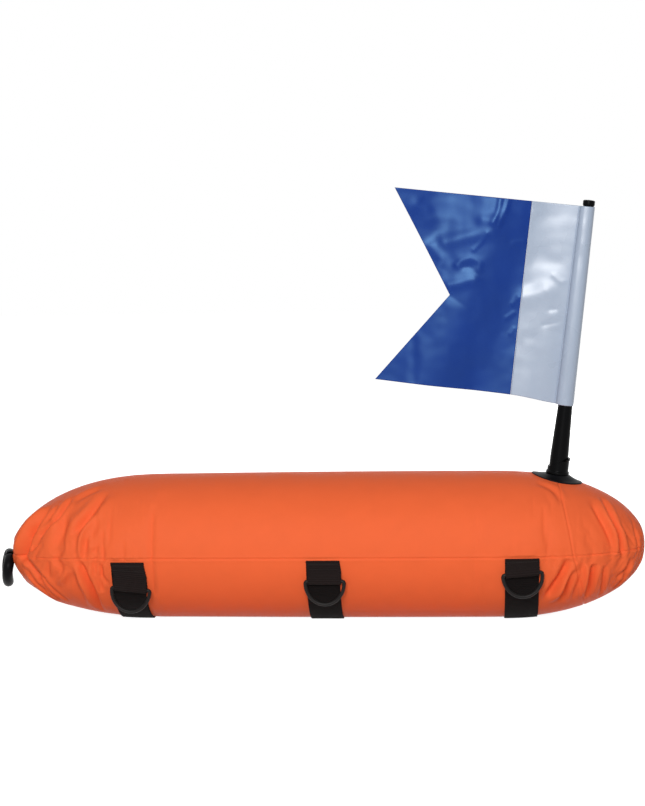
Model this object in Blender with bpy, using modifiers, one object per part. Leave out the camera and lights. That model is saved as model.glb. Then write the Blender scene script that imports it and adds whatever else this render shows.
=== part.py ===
"""Inflatable torpedo float with a dive flag, built as separate sub-parts.

Metres, +Z up. The bow with its tow loop points along -X, the flag mast stands near the stern at +X,
and the belly rests on Z = 0. The origin lies under the middle of the whole object.
"""
from math import asin, atan, cos, pi, radians, sin, sqrt, tan

import bmesh
import bpy
from mathutils import Matrix, Vector

# Clearances
GAP = 0.0003
CUT_OVERRUN = 0.004
SLOPE_STEP = 0.0005
WELD_SHARE = 0.1
SMOOTH_ANGLE = radians(40)
GRID_HALF_SHARE = 0.5

# Inflated body: a barrel with blunt ends, drooping a little at the bow, flattened where it rests
FLOAT_LENGTH = 0.975
FLOAT_RADIUS = 0.1125
END_LENGTH = 0.220
END_FULLNESS = 2.2
BARREL_DROP_SHARE = 0.03
WIDEST_PLACE = 0.080
BELLY_SAG = 0.004
NOSE_DROOP = 0.008
COVER_THICKNESS = 0.0010
BLADDER_WALL = 0.0008
TAIL_SEAM_FROM_TIP = 0.1115
TAIL_SEAM_LEAN = radians(11.3)
HALF_RING_STEPS = 16
END_STEPS = 7
MIDDLE_STEPS = 5
SEAM_STEPS = 4
TAIL_STEPS = 5
SEAM_FITS = 6

# Belly straps, their folded keepers and the D-rings
WEBBING_WIDTH = 0.050
WEBBING_THICKNESS = 0.0018
STRAP_SPACING_SHARE = 0.301
STRAP_MIDDLE = 0.005
STRAP_BELOW_SEAM = {"bow": 0.005, "middle": 0.0026, "stern": 0.0008}
RING_WIRE = 0.0054
RING_WIDTH = 0.063
RING_DROP = 0.0348
RING_CORNER = 0.0030
RING_TURN_STEPS = 12
RING_CORNER_STEPS = 3
BAR_BELOW_SEAM = {"bow": 0.0442, "middle": 0.0317, "stern": 0.0212}
RING_SKEW = {"bow": radians(5.5), "stern": radians(-4)}
KEEPER_LEAN = {"bow": 0.0038, "middle": 0.0022}
RING_SLIP = 0.0003
FOLD_RISE = 0.012
FOLD_LEAD_SHARE = 1.15
FOLD_STEPS = 7

# Tow loop: a webbing core in a rubber grip, hung from an eye at the nose
EYE_STAND_OUT = 0.0085
EYE_BELOW_NOSE = 0.0050
EYE_RADIUS = 0.0070
EYE_WIDTH = 0.019
EYE_PLAY = 0.0011
TAB_HEIGHT = 0.011
CORE_RADIUS = 0.0026
GRIP_RADIUS = 0.0081
LOOP_HALF_WIDTH = 0.031
LOOP_DROP = 0.0435
LOOP_TURN = radians(15.1)
LOOP_SWAY = 0.0055
LOOP_SHOULDER_SHARE = 0.32
LOOP_SWAY_SHARE = 0.72
GRIP_START_SHARE = 0.15
CORE_STEPS = 36
GRIP_STEPS = 20

# Mast, its socket and its foot
MAST_FROM_TIP = 0.1315
MAST_TILT = radians(6.8)
MAST_TOP = 0.4112
MAST_BASE_RADIUS = 0.0137
MAST_FLAG_RADIUS = 0.0110
MAST_TOP_RADIUS = 0.0083
MAST_WALL = 0.0016
MAST_PLUG_LENGTH = 0.012
CAP_RADIUS = 0.0089
CAP_HEIGHT = 0.0086
CAP_DOME = 0.0020
CAP_SPIGOT = 0.010
SOCKET_HEIGHT = 0.0305
SOCKET_LOW_SIDE = 0.0150
SOCKET_WALL = 0.0019
SOCKET_FLOOR = 0.0024
SOCKET_LIP = 0.0009
SOCKET_LIP_HEIGHT = 0.0040
SOCKET_BASE_RADIUS = 0.0175
SOCKET_BASE_HEIGHT = 0.0050
FOOT_LENGTH = 0.076
FOOT_WIDTH = 0.064
FOOT_EDGE = 0.0014
FOOT_SEAT = 0.0040
FOOT_RIM_SHARE = 0.8
FOOT_HUB_SHARE = 0.6
ROUND_STEPS = 20
FINE_STEPS = 8

# Flag: a white hoist panel folded round the mast and a blue swallow-tailed fly panel
FLAG_BOTTOM = 0.110
FLAG_HOIST = 0.300
FLAG_FLY = 0.291
FLAG_WHITE = 0.084
FLAG_NOTCH = 0.0995
FLAG_NOTCH_DROP = 0.006
FLAG_RISE = 0.0065
FLAG_TIP_RISE = 0.0015
FLAG_SHEET = 0.0006
SLEEVE_EASE = 0.0006
SLEEVE_WELD_TOP = 0.0040
SLEEVE_WELD_BOTTOM = 0.0036
SLEEVE_LAP = 0.007
FLAG_WAVE = 0.0045
FLAG_WAVE_LENGTH = 0.170
FLAG_ROWS = 12
WHITE_STEPS = 5
BLUE_STEPS = 14
SLEEVE_TURN_STEPS = 10

# Zip on the far side's seam, behind which the bladder goes in and out
ZIP_LENGTH = 0.200
ZIP_TAPE_WIDTH = 0.011
ZIP_TAPE_THICKNESS = 0.0008
ZIP_COIL_WIDTH = 0.0024
ZIP_COIL_HEIGHT = 0.0018
ZIP_STOP_LENGTH = 0.004
ZIP_STOP_HEIGHT = 0.0030
ZIP_STEPS = 6
SLIDER_LENGTH = 0.012
SLIDER_WIDTH = 0.0094
SLIDER_PLATE = 0.0018
SLIDER_CLEARANCE = 0.0006
SLIDER_BEVEL = 0.0006
BRIDGE_RADIUS = 0.0009
BRIDGE_SPAN = 0.0064
BRIDGE_RISE = 0.0027
PULL_EYE_RADIUS = 0.0022
PULL_EYE_LENGTH = 0.0040
PULL_LENGTH = 0.020
PULL_WIDTH = 0.0070
PULL_THICKNESS = 0.0014

# Inflation valve, recessed in the bladder behind the zip
VALVE_ABOVE_SEAM = radians(14)
VALVE_NECK_RADIUS = 0.0125
VALVE_BORE_RADIUS = 0.0095
VALVE_FLANGE_RADIUS = 0.0180
VALVE_FLANGE = 0.0014
VALVE_DEPTH = 0.022
VALVE_RECESS = 0.0022
PLUG_LENGTH = 0.014
PLUG_HEAD = 0.0022
PLUG_WAIST_SHARE = 0.75
PLUG_GRIP_WIDTH = 0.0026
PLUG_GRIP_DEPTH = 0.0014

# Values worked out from those above
HALF_LENGTH = FLOAT_LENGTH / 2
TAIL_SEAM_PLACE = HALF_LENGTH - TAIL_SEAM_FROM_TIP
MAST_PLACE = HALF_LENGTH - MAST_FROM_TIP
STRAP_SPACING = STRAP_SPACING_SHARE * FLOAT_LENGTH
AXIS_HEIGHT = FLOAT_RADIUS - BELLY_SAG
PANEL_SHIFT = GAP / 2
STRAP_SEAT = GAP + PANEL_SHIFT
BELLY_LIFT = WEBBING_THICKNESS + STRAP_SEAT
KEEPER_BACK = STRAP_SEAT + WEBBING_THICKNESS + GAP + WEBBING_THICKNESS / 2
KEEPER_FRONT = KEEPER_BACK + WEBBING_THICKNESS + GAP
FOLD_RADIUS = RING_WIRE / 2 + GAP + WEBBING_THICKNESS / 2
BAR_STAND_OUT = KEEPER_BACK + FOLD_RADIUS
LOOP_REACH = EYE_STAND_OUT + LOOP_SWAY + GRIP_RADIUS
FLOAT_MIDDLE = LOOP_REACH / 2
BLADDER_OUT = -(COVER_THICKNESS + GAP)
STRAP_PLACES = {
    "bow": STRAP_MIDDLE - STRAP_SPACING,
    "middle": STRAP_MIDDLE,
    "stern": STRAP_MIDDLE + STRAP_SPACING,
}
ZIP_MIDDLE = STRAP_MIDDLE + STRAP_SPACING / 2
NEAR, FAR = -1, 1

MATERIALS = {
    "orange_fabric": ((0.87, 0.17, 0.06), 0.55, 0.0),
    "bladder_vinyl": ((0.75, 0.72, 0.66), 0.35, 0.0),
    "black_webbing": ((0.018, 0.016, 0.016), 0.80, 0.0),
    "ring_plastic": ((0.020, 0.018, 0.018), 0.45, 0.0),
    "black_rubber": ((0.012, 0.012, 0.013), 0.50, 0.0),
    "mast_plastic": ((0.008, 0.008, 0.009), 0.38, 0.0),
    "flag_white": ((0.62, 0.66, 0.74), 0.22, 0.0),
    "flag_blue": ((0.018, 0.050, 0.27), 0.20, 0.0),
    "zip_nylon": ((0.020, 0.020, 0.022), 0.55, 0.0),
    "zip_metal": ((0.45, 0.45, 0.46), 0.35, 1.0),
}


def clear_scene():
    """Remove what the scene holds, and start the two collections."""
    for obj in list(bpy.data.objects):
        bpy.data.objects.remove(obj, do_unlink=True)
    made = []
    for name in ("dive_flag_float", "cutters"):
        collection = bpy.data.collections.new(name)
        bpy.context.scene.collection.children.link(collection)
        made.append(collection)
    return made


def make_materials():
    """One Principled material for each finish."""
    made = {}
    for name, (colour, roughness, metallic) in MATERIALS.items():
        material = bpy.data.materials.new(name)
        material.use_nodes = True
        shader = material.node_tree.nodes["Principled BSDF"]
        shader.inputs["Base Color"].default_value = (*colour, 1.0)
        shader.inputs["Roughness"].default_value = roughness
        shader.inputs["Metallic"].default_value = metallic
        made[name] = material
    return made


parts, cutters = clear_scene()
finishes = make_materials()


# Building helpers

def add_part(name, data, finish, parent=None):
    """Put a named sub-part in the parts collection."""
    obj = bpy.data.objects.new(name, data)
    parts.objects.link(obj)
    data.materials.append(finishes[finish])
    obj.parent = parent
    return obj


def add_cutter(name, mesh):
    """Keep a shape that only cuts others."""
    obj = bpy.data.objects.new(name, mesh)
    cutters.objects.link(obj)
    obj.hide_render = True
    obj.display_type = "WIRE"
    return obj


def mesh_from(name, bm, smooth_angle=SMOOTH_ANGLE):
    """Write a bmesh out as a smooth mesh with sharp edges where it turns."""
    mesh = bpy.data.meshes.new(name)
    bm.to_mesh(mesh)
    bm.free()
    mesh.shade_smooth()
    mesh.set_sharp_from_angle(angle=smooth_angle)
    return mesh


def sheet_mesh(name, steps_u, steps_v, place, closed=False):
    """An open grid laid on a surface: place(i, j) gives the point of each crossing."""
    bm = bmesh.new()
    bmesh.ops.create_grid(bm, x_segments=steps_u, y_segments=steps_v, size=GRID_HALF_SHARE)
    for vert in bm.verts:
        i = round((vert.co.x + GRID_HALF_SHARE) * steps_u)
        j = round((vert.co.y + GRID_HALF_SHARE) * steps_v)
        vert.co = place(i, j)
    bmesh.ops.remove_doubles(bm, verts=bm.verts, dist=GAP * WELD_SHARE)
    if closed:
        bmesh.ops.recalc_face_normals(bm, faces=bm.faces)
    bmesh.ops.triangulate(bm, faces=bm.faces, quad_method="SHORT_EDGE")
    return mesh_from(name, bm)


def slab_mesh(name, steps_u, steps_v, place):
    """A closed slab: place(i, j, face) gives the points of its seat (face 0) and its face (1)."""
    bm = bmesh.new()
    bmesh.ops.create_grid(bm, x_segments=steps_u, y_segments=steps_v, size=GRID_HALF_SHARE)
    raised = bmesh.ops.extrude_face_region(bm, geom=bm.faces[:])["geom"]
    raised = {item for item in raised if isinstance(item, bmesh.types.BMVert)}
    for vert in bm.verts:
        i = round((vert.co.x + GRID_HALF_SHARE) * steps_u)
        j = round((vert.co.y + GRID_HALF_SHARE) * steps_v)
        vert.co = place(i, j, 1 if vert in raised else 0)
    bmesh.ops.recalc_face_normals(bm, faces=bm.faces)
    return mesh_from(name, bm)


def block_mesh(name, size, centre=(0, 0, 0)):
    """A box of a given size."""
    bm = bmesh.new()
    bmesh.ops.create_cube(bm, size=1.0, matrix=Matrix.LocRotScale(Vector(centre), None, Vector(size)))
    return mesh_from(name, bm)


def rod_mesh(name, radius, length, axis="Z", centre=(0, 0, 0), steps=ROUND_STEPS):
    """A round bar along an axis."""
    turn = {"X": Matrix.Rotation(pi / 2, 4, "Y"), "Y": Matrix.Rotation(pi / 2, 4, "X"), "Z": Matrix()}
    bm = bmesh.new()
    bmesh.ops.create_cone(bm, cap_ends=True, segments=steps, radius1=radius, radius2=radius,
                          depth=length, matrix=Matrix.Translation(centre) @ turn[axis])
    return mesh_from(name, bm)


def turned(name, profile, finish, parent=None, steps=ROUND_STEPS):
    """A turned piece from its outline, which is left open where it meets the axis."""
    mesh = bpy.data.meshes.new(name)
    count = len(profile)
    on_axis = any(radius == 0 for radius, height in profile)
    edges = [(i, (i + 1) % count) for i in range(count - 1 if on_axis else count)]
    mesh.from_pydata([(radius, 0, height) for radius, height in profile], edges, [])
    obj = add_part(name, mesh, finish, parent)
    screw = obj.modifiers.new("turn", "SCREW")
    screw.steps = screw.render_steps = steps
    screw.use_merge_vertices = True
    screw.merge_threshold = GAP * WELD_SHARE
    screw.use_normal_calculate = False
    return obj


def solidify(obj, thickness, offset):
    """Give an open sheet its thickness."""
    wall = obj.modifiers.new("wall", "SOLIDIFY")
    wall.thickness = thickness
    wall.offset = offset
    wall.use_even_offset = True


def cut(obj, cutter, operation="DIFFERENCE"):
    """Cut a piece with another shape, or join the two."""
    step = obj.modifiers.new(operation.lower(), "BOOLEAN")
    step.operation = operation
    step.object = cutter
    step.solver = "EXACT"


def tube_curve(name, points, radius, cyclic, resolution=2):
    """A round tube along points."""
    curve = bpy.data.curves.new(name, "CURVE")
    curve.dimensions = "3D"
    curve.bevel_depth = radius
    curve.bevel_resolution = resolution
    curve.use_fill_caps = not cyclic
    spline = curve.splines.new("POLY")
    spline.points.add(len(points) - 1)
    for knot, point in zip(spline.points, points):
        knot.co = (*point, 1)
    spline.use_cyclic_u = cyclic
    return curve


def curve_to_mesh(name, curve):
    """Turn a tube into a welded mesh, so that it can be cut or used to cut."""
    holder = bpy.data.objects.new(name, curve)
    bpy.context.scene.collection.objects.link(holder)
    mesh = bpy.data.meshes.new_from_object(holder.evaluated_get(bpy.context.evaluated_depsgraph_get()))
    bpy.data.objects.remove(holder)
    bm = bmesh.new()
    bm.from_mesh(mesh)
    bmesh.ops.remove_doubles(bm, verts=bm.verts, dist=GAP * WELD_SHARE)
    return mesh_from(name, bm)


def add_empty(name, matrix):
    """An empty that stands on a joint's axis."""
    empty = bpy.data.objects.new(name, None)
    parts.objects.link(empty)
    empty.matrix_world = matrix
    return empty


def frame_matrix(origin, x_axis, z_axis):
    """A placing matrix from an origin and two square directions."""
    x_axis, z_axis = x_axis.normalized(), z_axis.normalized()
    y_axis = z_axis.cross(x_axis)
    return Matrix.Translation(origin) @ Matrix((x_axis, y_axis, z_axis)).transposed().to_4x4()


# The inflated body's surface. Stations run along X from its middle. Angles start at the near seam
# (-Y): 90 degrees is the top, 180 the far seam and -90 the belly.

def float_radius(x):
    """Radius of the body at a station."""
    end = min(1.0, max(0.0, (HALF_LENGTH - abs(x)) / END_LENGTH))
    barrel = 1 - BARREL_DROP_SHARE * ((x - WIDEST_PLACE) / HALF_LENGTH) ** 2
    return FLOAT_RADIUS * barrel * sqrt(1 - (1 - end) ** END_FULLNESS)


def centre_height(x):
    """Height of the body's centre line, which droops towards the nose."""
    into_bow = max(0.0, (END_LENGTH - HALF_LENGTH - x) / END_LENGTH)
    return AXIS_HEIGHT - NOSE_DROOP * into_bow ** 2


def outline_normal(x):
    """Outward direction of the outline at a station, as (along, outward)."""
    if HALF_LENGTH - abs(x) < SLOPE_STEP:
        return (1.0 if x > 0 else -1.0), 0.0
    slope = (float_radius(x + SLOPE_STEP / 2) - float_radius(x - SLOPE_STEP / 2)) / SLOPE_STEP
    length = sqrt(1 + slope * slope)
    return -slope / length, 1 / length


def body_point(x, angle, out=0.0):
    """Point at a station and an angle, a distance out from the cover's face."""
    along, outward = outline_normal(x)
    radius = float_radius(x) + out * outward
    height = centre_height(x) + radius * sin(angle)
    height = max(height, BELLY_LIFT - out)
    return Vector((FLOAT_MIDDLE + x + out * along, -radius * cos(angle), height))


def body_tangent(x, angle):
    """Direction along the body at a point."""
    return (body_point(x + SLOPE_STEP, angle) - body_point(x - SLOPE_STEP, angle)).normalized()


def seam_station(angle):
    """Where the leaning tail seam crosses an angle."""
    x = TAIL_SEAM_PLACE
    for _ in range(SEAM_FITS):
        x = TAIL_SEAM_PLACE - tan(TAIL_SEAM_LEAN) * float_radius(x) * sin(angle)
    return x


def stations(angle):
    """Stations from the nose to the stern tip at an angle, with the tail seam among them."""
    shoulder = HALF_LENGTH - END_LENGTH
    bow = [-HALF_LENGTH + END_LENGTH * (1 - cos(pi / 2 * i / END_STEPS)) for i in range(END_STEPS)]
    middle = [-shoulder + 2 * shoulder * i / MIDDLE_STEPS for i in range(MIDDLE_STEPS)]
    seam = seam_station(angle)
    aft = [shoulder + (seam - shoulder) * i / SEAM_STEPS for i in range(SEAM_STEPS)]
    turn = asin((seam - shoulder) / END_LENGTH)
    tail = [shoulder + END_LENGTH * sin(turn + (pi / 2 - turn) * i / TAIL_STEPS)
            for i in range(TAIL_STEPS + 1)]
    return bow + middle + aft + tail


SEAM_INDEX = END_STEPS + MIDDLE_STEPS + SEAM_STEPS


def cover_panel(name, side, first, last, shift):
    """One panel of the cover: side is 1 for the upper half and -1 for the lower."""
    def place(i, j):
        angle = side * pi * i / HALF_RING_STEPS
        x = stations(angle)[first + j]
        if j == 0:
            x += shift
        point = body_point(x, angle)
        point.z += side * PANEL_SHIFT
        return point

    mesh = sheet_mesh(name, HALF_RING_STEPS, last - first, place)
    obj = add_part(name, mesh, "orange_fabric")
    solidify(obj, COVER_THICKNESS, side)
    return obj


def body_skin(name):
    """The whole body's closed surface, on the cover's face."""
    steps = 2 * HALF_RING_STEPS

    def place(i, j):
        angle = 2 * pi * (i % steps) / steps
        if angle > pi:
            angle -= 2 * pi
        return body_point(stations(angle)[j], angle)

    return sheet_mesh(name, steps, SEAM_INDEX + TAIL_STEPS, place, closed=True)


def swell(obj, distance):
    """Move a closed surface out along its normals, or in where the distance is negative."""
    step = obj.modifiers.new("swell", "DISPLACE")
    step.direction = "NORMAL"
    step.mid_level = 0
    step.strength = distance


def make_cover():
    """Two main panels and two tail panels, sewn edge to edge."""
    last = SEAM_INDEX + TAIL_STEPS
    cover_panel("cover_upper_panel", 1, 0, SEAM_INDEX, 0)
    cover_panel("cover_lower_panel", -1, 0, SEAM_INDEX, 0)
    cover_panel("tail_upper_panel", 1, SEAM_INDEX, last, GAP)
    cover_panel("tail_lower_panel", -1, SEAM_INDEX, last, GAP)


def valve_frame():
    """Place of the valve: its origin on the bladder's face, its Z pointing out."""
    angle = pi - VALVE_ABOVE_SEAM
    origin = body_point(ZIP_MIDDLE, angle, BLADDER_OUT)
    outward = (body_point(ZIP_MIDDLE, angle, GAP) - body_point(ZIP_MIDDLE, angle)).normalized()
    along = body_tangent(ZIP_MIDDLE, angle)
    return frame_matrix(origin, along - outward * along.dot(outward), outward)


def make_bladder():
    """The airtight bladder with its recessed valve and the valve's twist plug."""
    bladder = add_part("bladder", body_skin("bladder"), "bladder_vinyl")
    swell(bladder, BLADDER_OUT)
    solidify(bladder, BLADDER_WALL, -1)
    place = valve_frame()
    hole_length = 2 * VALVE_DEPTH
    hole = add_cutter("valve_hole", rod_mesh("valve_hole", VALVE_NECK_RADIUS + GAP, hole_length))
    hole.matrix_world = place
    cut(bladder, hole)

    facet_drop = FLOAT_RADIUS * (1 - cos(pi / (2 * HALF_RING_STEPS)))
    curve_drop = VALVE_FLANGE_RADIUS ** 2 / (2 * (FLOAT_RADIUS + BLADDER_OUT)) + facet_drop
    flange_top = -(BLADDER_WALL + curve_drop + GAP)
    flange_foot = flange_top - VALVE_FLANGE
    body = turned("valve_body", [
        (VALVE_BORE_RADIUS, -VALVE_RECESS),
        (VALVE_NECK_RADIUS, -VALVE_RECESS),
        (VALVE_NECK_RADIUS, flange_top),
        (VALVE_FLANGE_RADIUS, flange_top),
        (VALVE_FLANGE_RADIUS, flange_foot),
        (VALVE_NECK_RADIUS, flange_foot),
        (VALVE_NECK_RADIUS, -VALVE_DEPTH),
        (VALVE_BORE_RADIUS, -VALVE_DEPTH),
    ], "black_rubber")
    body.matrix_world = place

    plug_radius = VALVE_BORE_RADIUS - GAP
    waist = plug_radius * PLUG_WAIST_SHARE
    plug_foot = -VALVE_RECESS - PLUG_LENGTH
    plug = turned("valve_plug", [
        (0, -VALVE_RECESS),
        (plug_radius, -VALVE_RECESS),
        (plug_radius, -VALVE_RECESS - PLUG_HEAD),
        (waist, -VALVE_RECESS - 2 * PLUG_HEAD),
        (waist, plug_foot + PLUG_HEAD),
        (plug_radius, plug_foot + PLUG_HEAD),
        (plug_radius, plug_foot),
        (0, plug_foot),
    ], "black_rubber")
    plug.matrix_world = place
    for side in (-1, 1):
        depth = PLUG_GRIP_DEPTH + CUT_OVERRUN
        reach = waist - PLUG_GRIP_WIDTH / 2
        size = (2 * waist, reach, depth)
        height = CUT_OVERRUN / 2 - VALVE_RECESS - PLUG_GRIP_DEPTH / 2
        centre = (0, side * (PLUG_GRIP_WIDTH + reach) / 2, height)
        scoop = add_cutter("plug_scoop", block_mesh("plug_scoop", size, centre))
        scoop.matrix_world = place
        cut(plug, scoop)


# Straps, keepers and rings

def strap_angles(where):
    """Angles of a strap's crossings, from its near end round the belly to its far end."""
    first = -STRAP_BELOW_SEAM[where] / FLOAT_RADIUS
    inner = [-pi * i / HALF_RING_STEPS for i in range(1, HALF_RING_STEPS)]
    return [first] + inner + [-pi - first]


def make_strap(where, centre):
    """A webbing band that runs under the belly from seam to seam."""
    angles = strap_angles(where)

    def place(i, j, face):
        x = centre + WEBBING_WIDTH * (i / 2 - 0.5)
        return body_point(x, angles[j], STRAP_SEAT + WEBBING_THICKNESS * face)

    mesh = slab_mesh(where + "_strap", 2, len(angles) - 1, place)
    add_part(where + "_strap", mesh, "black_webbing")


def bar_angle(where):
    """Angle of a ring's bar below the seam."""
    return -BAR_BELOW_SEAM[where] / FLOAT_RADIUS


def bar_skew(where, side):
    """How far a ring's bar lies askew: the near ones are not all level."""
    return RING_SKEW.get(where, 0.0) if side == NEAR else 0.0


def keeper_lean(where, side):
    """How far a keeper's fold has slipped along the float."""
    return KEEPER_LEAN.get(where, 0.0) if side == NEAR else 0.0


def mirrored(vector, side):
    """A near-side vector, or its mirror image on the far side."""
    return Vector((vector.x, -side * vector.y, vector.z))


def round_down(angle):
    """Direction down round the near side at an angle."""
    return Vector((0, -sin(angle), -cos(angle)))


def ring_bar(where, side):
    """Centre, direction and hanging direction of a ring's bar, in world axes."""
    centre = STRAP_PLACES[where]
    angle = bar_angle(where)
    origin = body_point(centre, angle, BAR_STAND_OUT)
    along = body_tangent(centre, angle)
    along = (along + round_down(angle) * tan(bar_skew(where, side))).normalized()
    lean = keeper_lean(where, side)
    if lean:
        origin += along * (lean + RING_SLIP)
    hang = Vector((0, 0, -1))
    hang = (hang - along * hang.dot(along)).normalized()
    return mirrored(origin, side), mirrored(along, side), mirrored(hang, side)


def keeper_path(where):
    """The folded webbing's middle line: (distance below the bar, distance out)."""
    top = STRAP_BELOW_SEAM[where] - BAR_BELOW_SEAM[where]
    slope_top = -(FOLD_RISE + FOLD_RADIUS)
    path = [(top, KEEPER_FRONT), (slope_top * FOLD_LEAD_SHARE, KEEPER_FRONT)]
    path.append((slope_top / 2, (KEEPER_FRONT + BAR_STAND_OUT + FOLD_RADIUS) / 2))
    for i in range(FOLD_STEPS):
        turn = pi * i / (FOLD_STEPS - 1)
        path.append((FOLD_RADIUS * sin(turn), BAR_STAND_OUT + FOLD_RADIUS * cos(turn)))
    path += [(slope_top / 2, KEEPER_BACK), (slope_top * FOLD_LEAD_SHARE, KEEPER_BACK), (top, KEEPER_BACK)]
    return path


def make_keeper(where, side):
    """Webbing sewn at the seam and folded round a ring's bar."""
    centre = STRAP_PLACES[where]
    path = keeper_path(where)
    tangent = body_tangent(centre, bar_angle(where))
    skewed = tangent + round_down(bar_angle(where)) * tan(bar_skew(where, side))

    def place(i, j):
        below, out = path[j]
        angle = bar_angle(where) - below / FLOAT_RADIUS
        sewn = j in (0, len(path) - 1)
        across = WEBBING_WIDTH * (i - 0.5)
        if not sewn:
            across += keeper_lean(where, side)
        return mirrored(body_point(centre, angle, out) + (tangent if sewn else skewed) * across, side)

    name = where + ("_near_keeper" if side == NEAR else "_far_keeper")
    obj = add_part(name, sheet_mesh(name, 1, len(path) - 1, place), "black_webbing")
    solidify(obj, WEBBING_THICKNESS, 0)


def ring_points():
    """A D-ring in its own plane: its bar on the X axis and its bow hanging down."""
    half = (RING_WIDTH - RING_WIRE) / 2
    points = []
    for i in range(RING_CORNER_STEPS):
        turn = pi / 2 * i / RING_CORNER_STEPS
        points.append((half - RING_CORNER * (1 - sin(turn)), 0, -RING_CORNER * (1 - cos(turn))))
    for i in range(RING_TURN_STEPS + 1):
        turn = pi * i / RING_TURN_STEPS
        points.append((half * cos(turn), 0, -RING_CORNER - (RING_DROP - RING_CORNER) * sin(turn)))
    for i in reversed(range(RING_CORNER_STEPS)):
        turn = pi / 2 * i / RING_CORNER_STEPS
        points.append((-half + RING_CORNER * (1 - sin(turn)), 0, -RING_CORNER * (1 - cos(turn))))
    return points


def make_ring(where, side):
    """A D-ring that hangs from its bar and swings about it."""
    name = where + ("_near_ring" if side == NEAR else "_far_ring")
    origin, along, hang = ring_bar(where, side)
    obj = add_part(name, tube_curve(name, ring_points(), RING_WIRE / 2, True), "ring_plastic")
    obj.matrix_world = frame_matrix(origin, along, -hang)


def make_straps():
    """Three belly straps, each with a keeper and a ring on both sides."""
    for where, centre in STRAP_PLACES.items():
        make_strap(where, centre)
        for side in (NEAR, FAR):
            make_keeper(where, side)
            make_ring(where, side)


# Tow loop

def nose_tip():
    """The foremost point of the cover."""
    return Vector((FLOAT_MIDDLE - HALF_LENGTH, 0, centre_height(-HALF_LENGTH)))


def tow_eye():
    """Centre of the nose eye, on the tow loop's hinge."""
    return nose_tip() + Vector((-EYE_STAND_OUT, 0, -EYE_BELOW_NOSE))


def tow_frame():
    """Place of the nose eye and the loop: sewn on a little turned, with Y along the hinge."""
    return Matrix.Translation(tow_eye()) @ Matrix.Rotation(LOOP_TURN, 4, "Z")


def loop_point(share):
    """The loop's middle line from the eye: share runs from 0 round to 1 and back to the eye."""
    turn = 2 * pi * share
    drop = LOOP_DROP * (1 - cos(turn)) / 2
    widening = LOOP_SHOULDER_SHARE * LOOP_HALF_WIDTH * sin(2 * turn) / 2
    across = LOOP_HALF_WIDTH * sin(turn) + widening
    sway = -LOOP_SWAY * sin(pi * LOOP_SWAY_SHARE * drop / LOOP_DROP)
    return Vector((sway, across, -drop))


def make_tow_loop():
    """The nose eye, the loop's core and its rubber grip."""
    place = tow_frame()
    hinge = add_empty("tow_hinge", place)
    core_points = [loop_point(i / CORE_STEPS) for i in range(CORE_STEPS)]
    add_part("tow_core", tube_curve("tow_core", core_points, CORE_RADIUS, True), "black_webbing", hinge)

    grip_points = [loop_point(GRIP_START_SHARE / 2 + (1 - GRIP_START_SHARE) * i / GRIP_STEPS)
                   for i in range(GRIP_STEPS + 1)]
    grip_mesh = curve_to_mesh("tow_grip", tube_curve("grip_line", grip_points, GRIP_RADIUS, False, 3))
    grip = add_part("tow_grip", grip_mesh, "black_rubber", hinge)
    bore_mesh = curve_to_mesh("grip_bore", tube_curve("bore_line", core_points, CORE_RADIUS + GAP, True))
    bore = add_cutter("grip_bore", bore_mesh)
    bore.matrix_world = place
    cut(grip, bore)

    tab_length = EYE_STAND_OUT + CUT_OVERRUN
    anchor = add_part("nose_anchor", rod_mesh("nose_anchor", EYE_RADIUS, EYE_WIDTH, "Y"), "black_rubber")
    anchor.matrix_world = place
    tab = add_cutter("anchor_tab", block_mesh("anchor_tab", (tab_length, EYE_WIDTH, TAB_HEIGHT),
                                              (tab_length / 2, 0, 0)))
    tab.matrix_world = place
    cut(anchor, tab, "UNION")
    hole_length = EYE_WIDTH + 2 * CUT_OVERRUN
    hole = add_cutter("eye_hole", rod_mesh("eye_hole", CORE_RADIUS + EYE_PLAY, hole_length, "Y"))
    hole.matrix_world = place
    cut(anchor, hole)
    envelope = add_cutter("body_envelope", body_skin("body_envelope"))
    swell(envelope, GAP + PANEL_SHIFT)
    cut(anchor, envelope)


# Mast and flag

def mast_frame():
    """The mast's own frame: its origin on the cover, its Z up the mast and its X towards the stern."""
    root = body_point(MAST_PLACE, pi / 2)
    return Matrix.Translation(root) @ Matrix.Rotation(MAST_TILT, 4, "Y")


def foot_mesh():
    """The foot's flange: it follows the cover below and carries the socket's flat seat on top."""
    root = body_point(MAST_PLACE, pi / 2)
    seat_radius = SOCKET_BASE_RADIUS + FOOT_EDGE
    under = [(share, "under") for share in (0, FOOT_HUB_SHARE, 1)]
    rings = under + [(1, "rim"), (FOOT_RIM_SHARE, "rim"), (1, "seat"), (0, "seat")]
    steps = 2 * ROUND_STEPS

    def cover_height(x, y):
        station = x - FLOAT_MIDDLE
        radius = float_radius(station) + GAP
        return centre_height(station) + sqrt(radius * radius - y * y)

    def place(i, j):
        share, kind = rings[j]
        turn = 2 * pi * (i % steps) / steps
        reach = (seat_radius, seat_radius) if kind == "seat" else (FOOT_LENGTH / 2, FOOT_WIDTH / 2)
        x = root.x + reach[0] * share * cos(turn)
        y = reach[1] * share * sin(turn)
        if kind == "seat":
            return Vector((x, y, root.z + FOOT_SEAT / cos(MAST_TILT) - (x - root.x) * tan(MAST_TILT)))
        return Vector((x, y, cover_height(x, y) + (FOOT_EDGE if kind == "rim" else 0)))

    return sheet_mesh("mast_foot_flange", steps, len(rings) - 1, place, closed=True)


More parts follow.
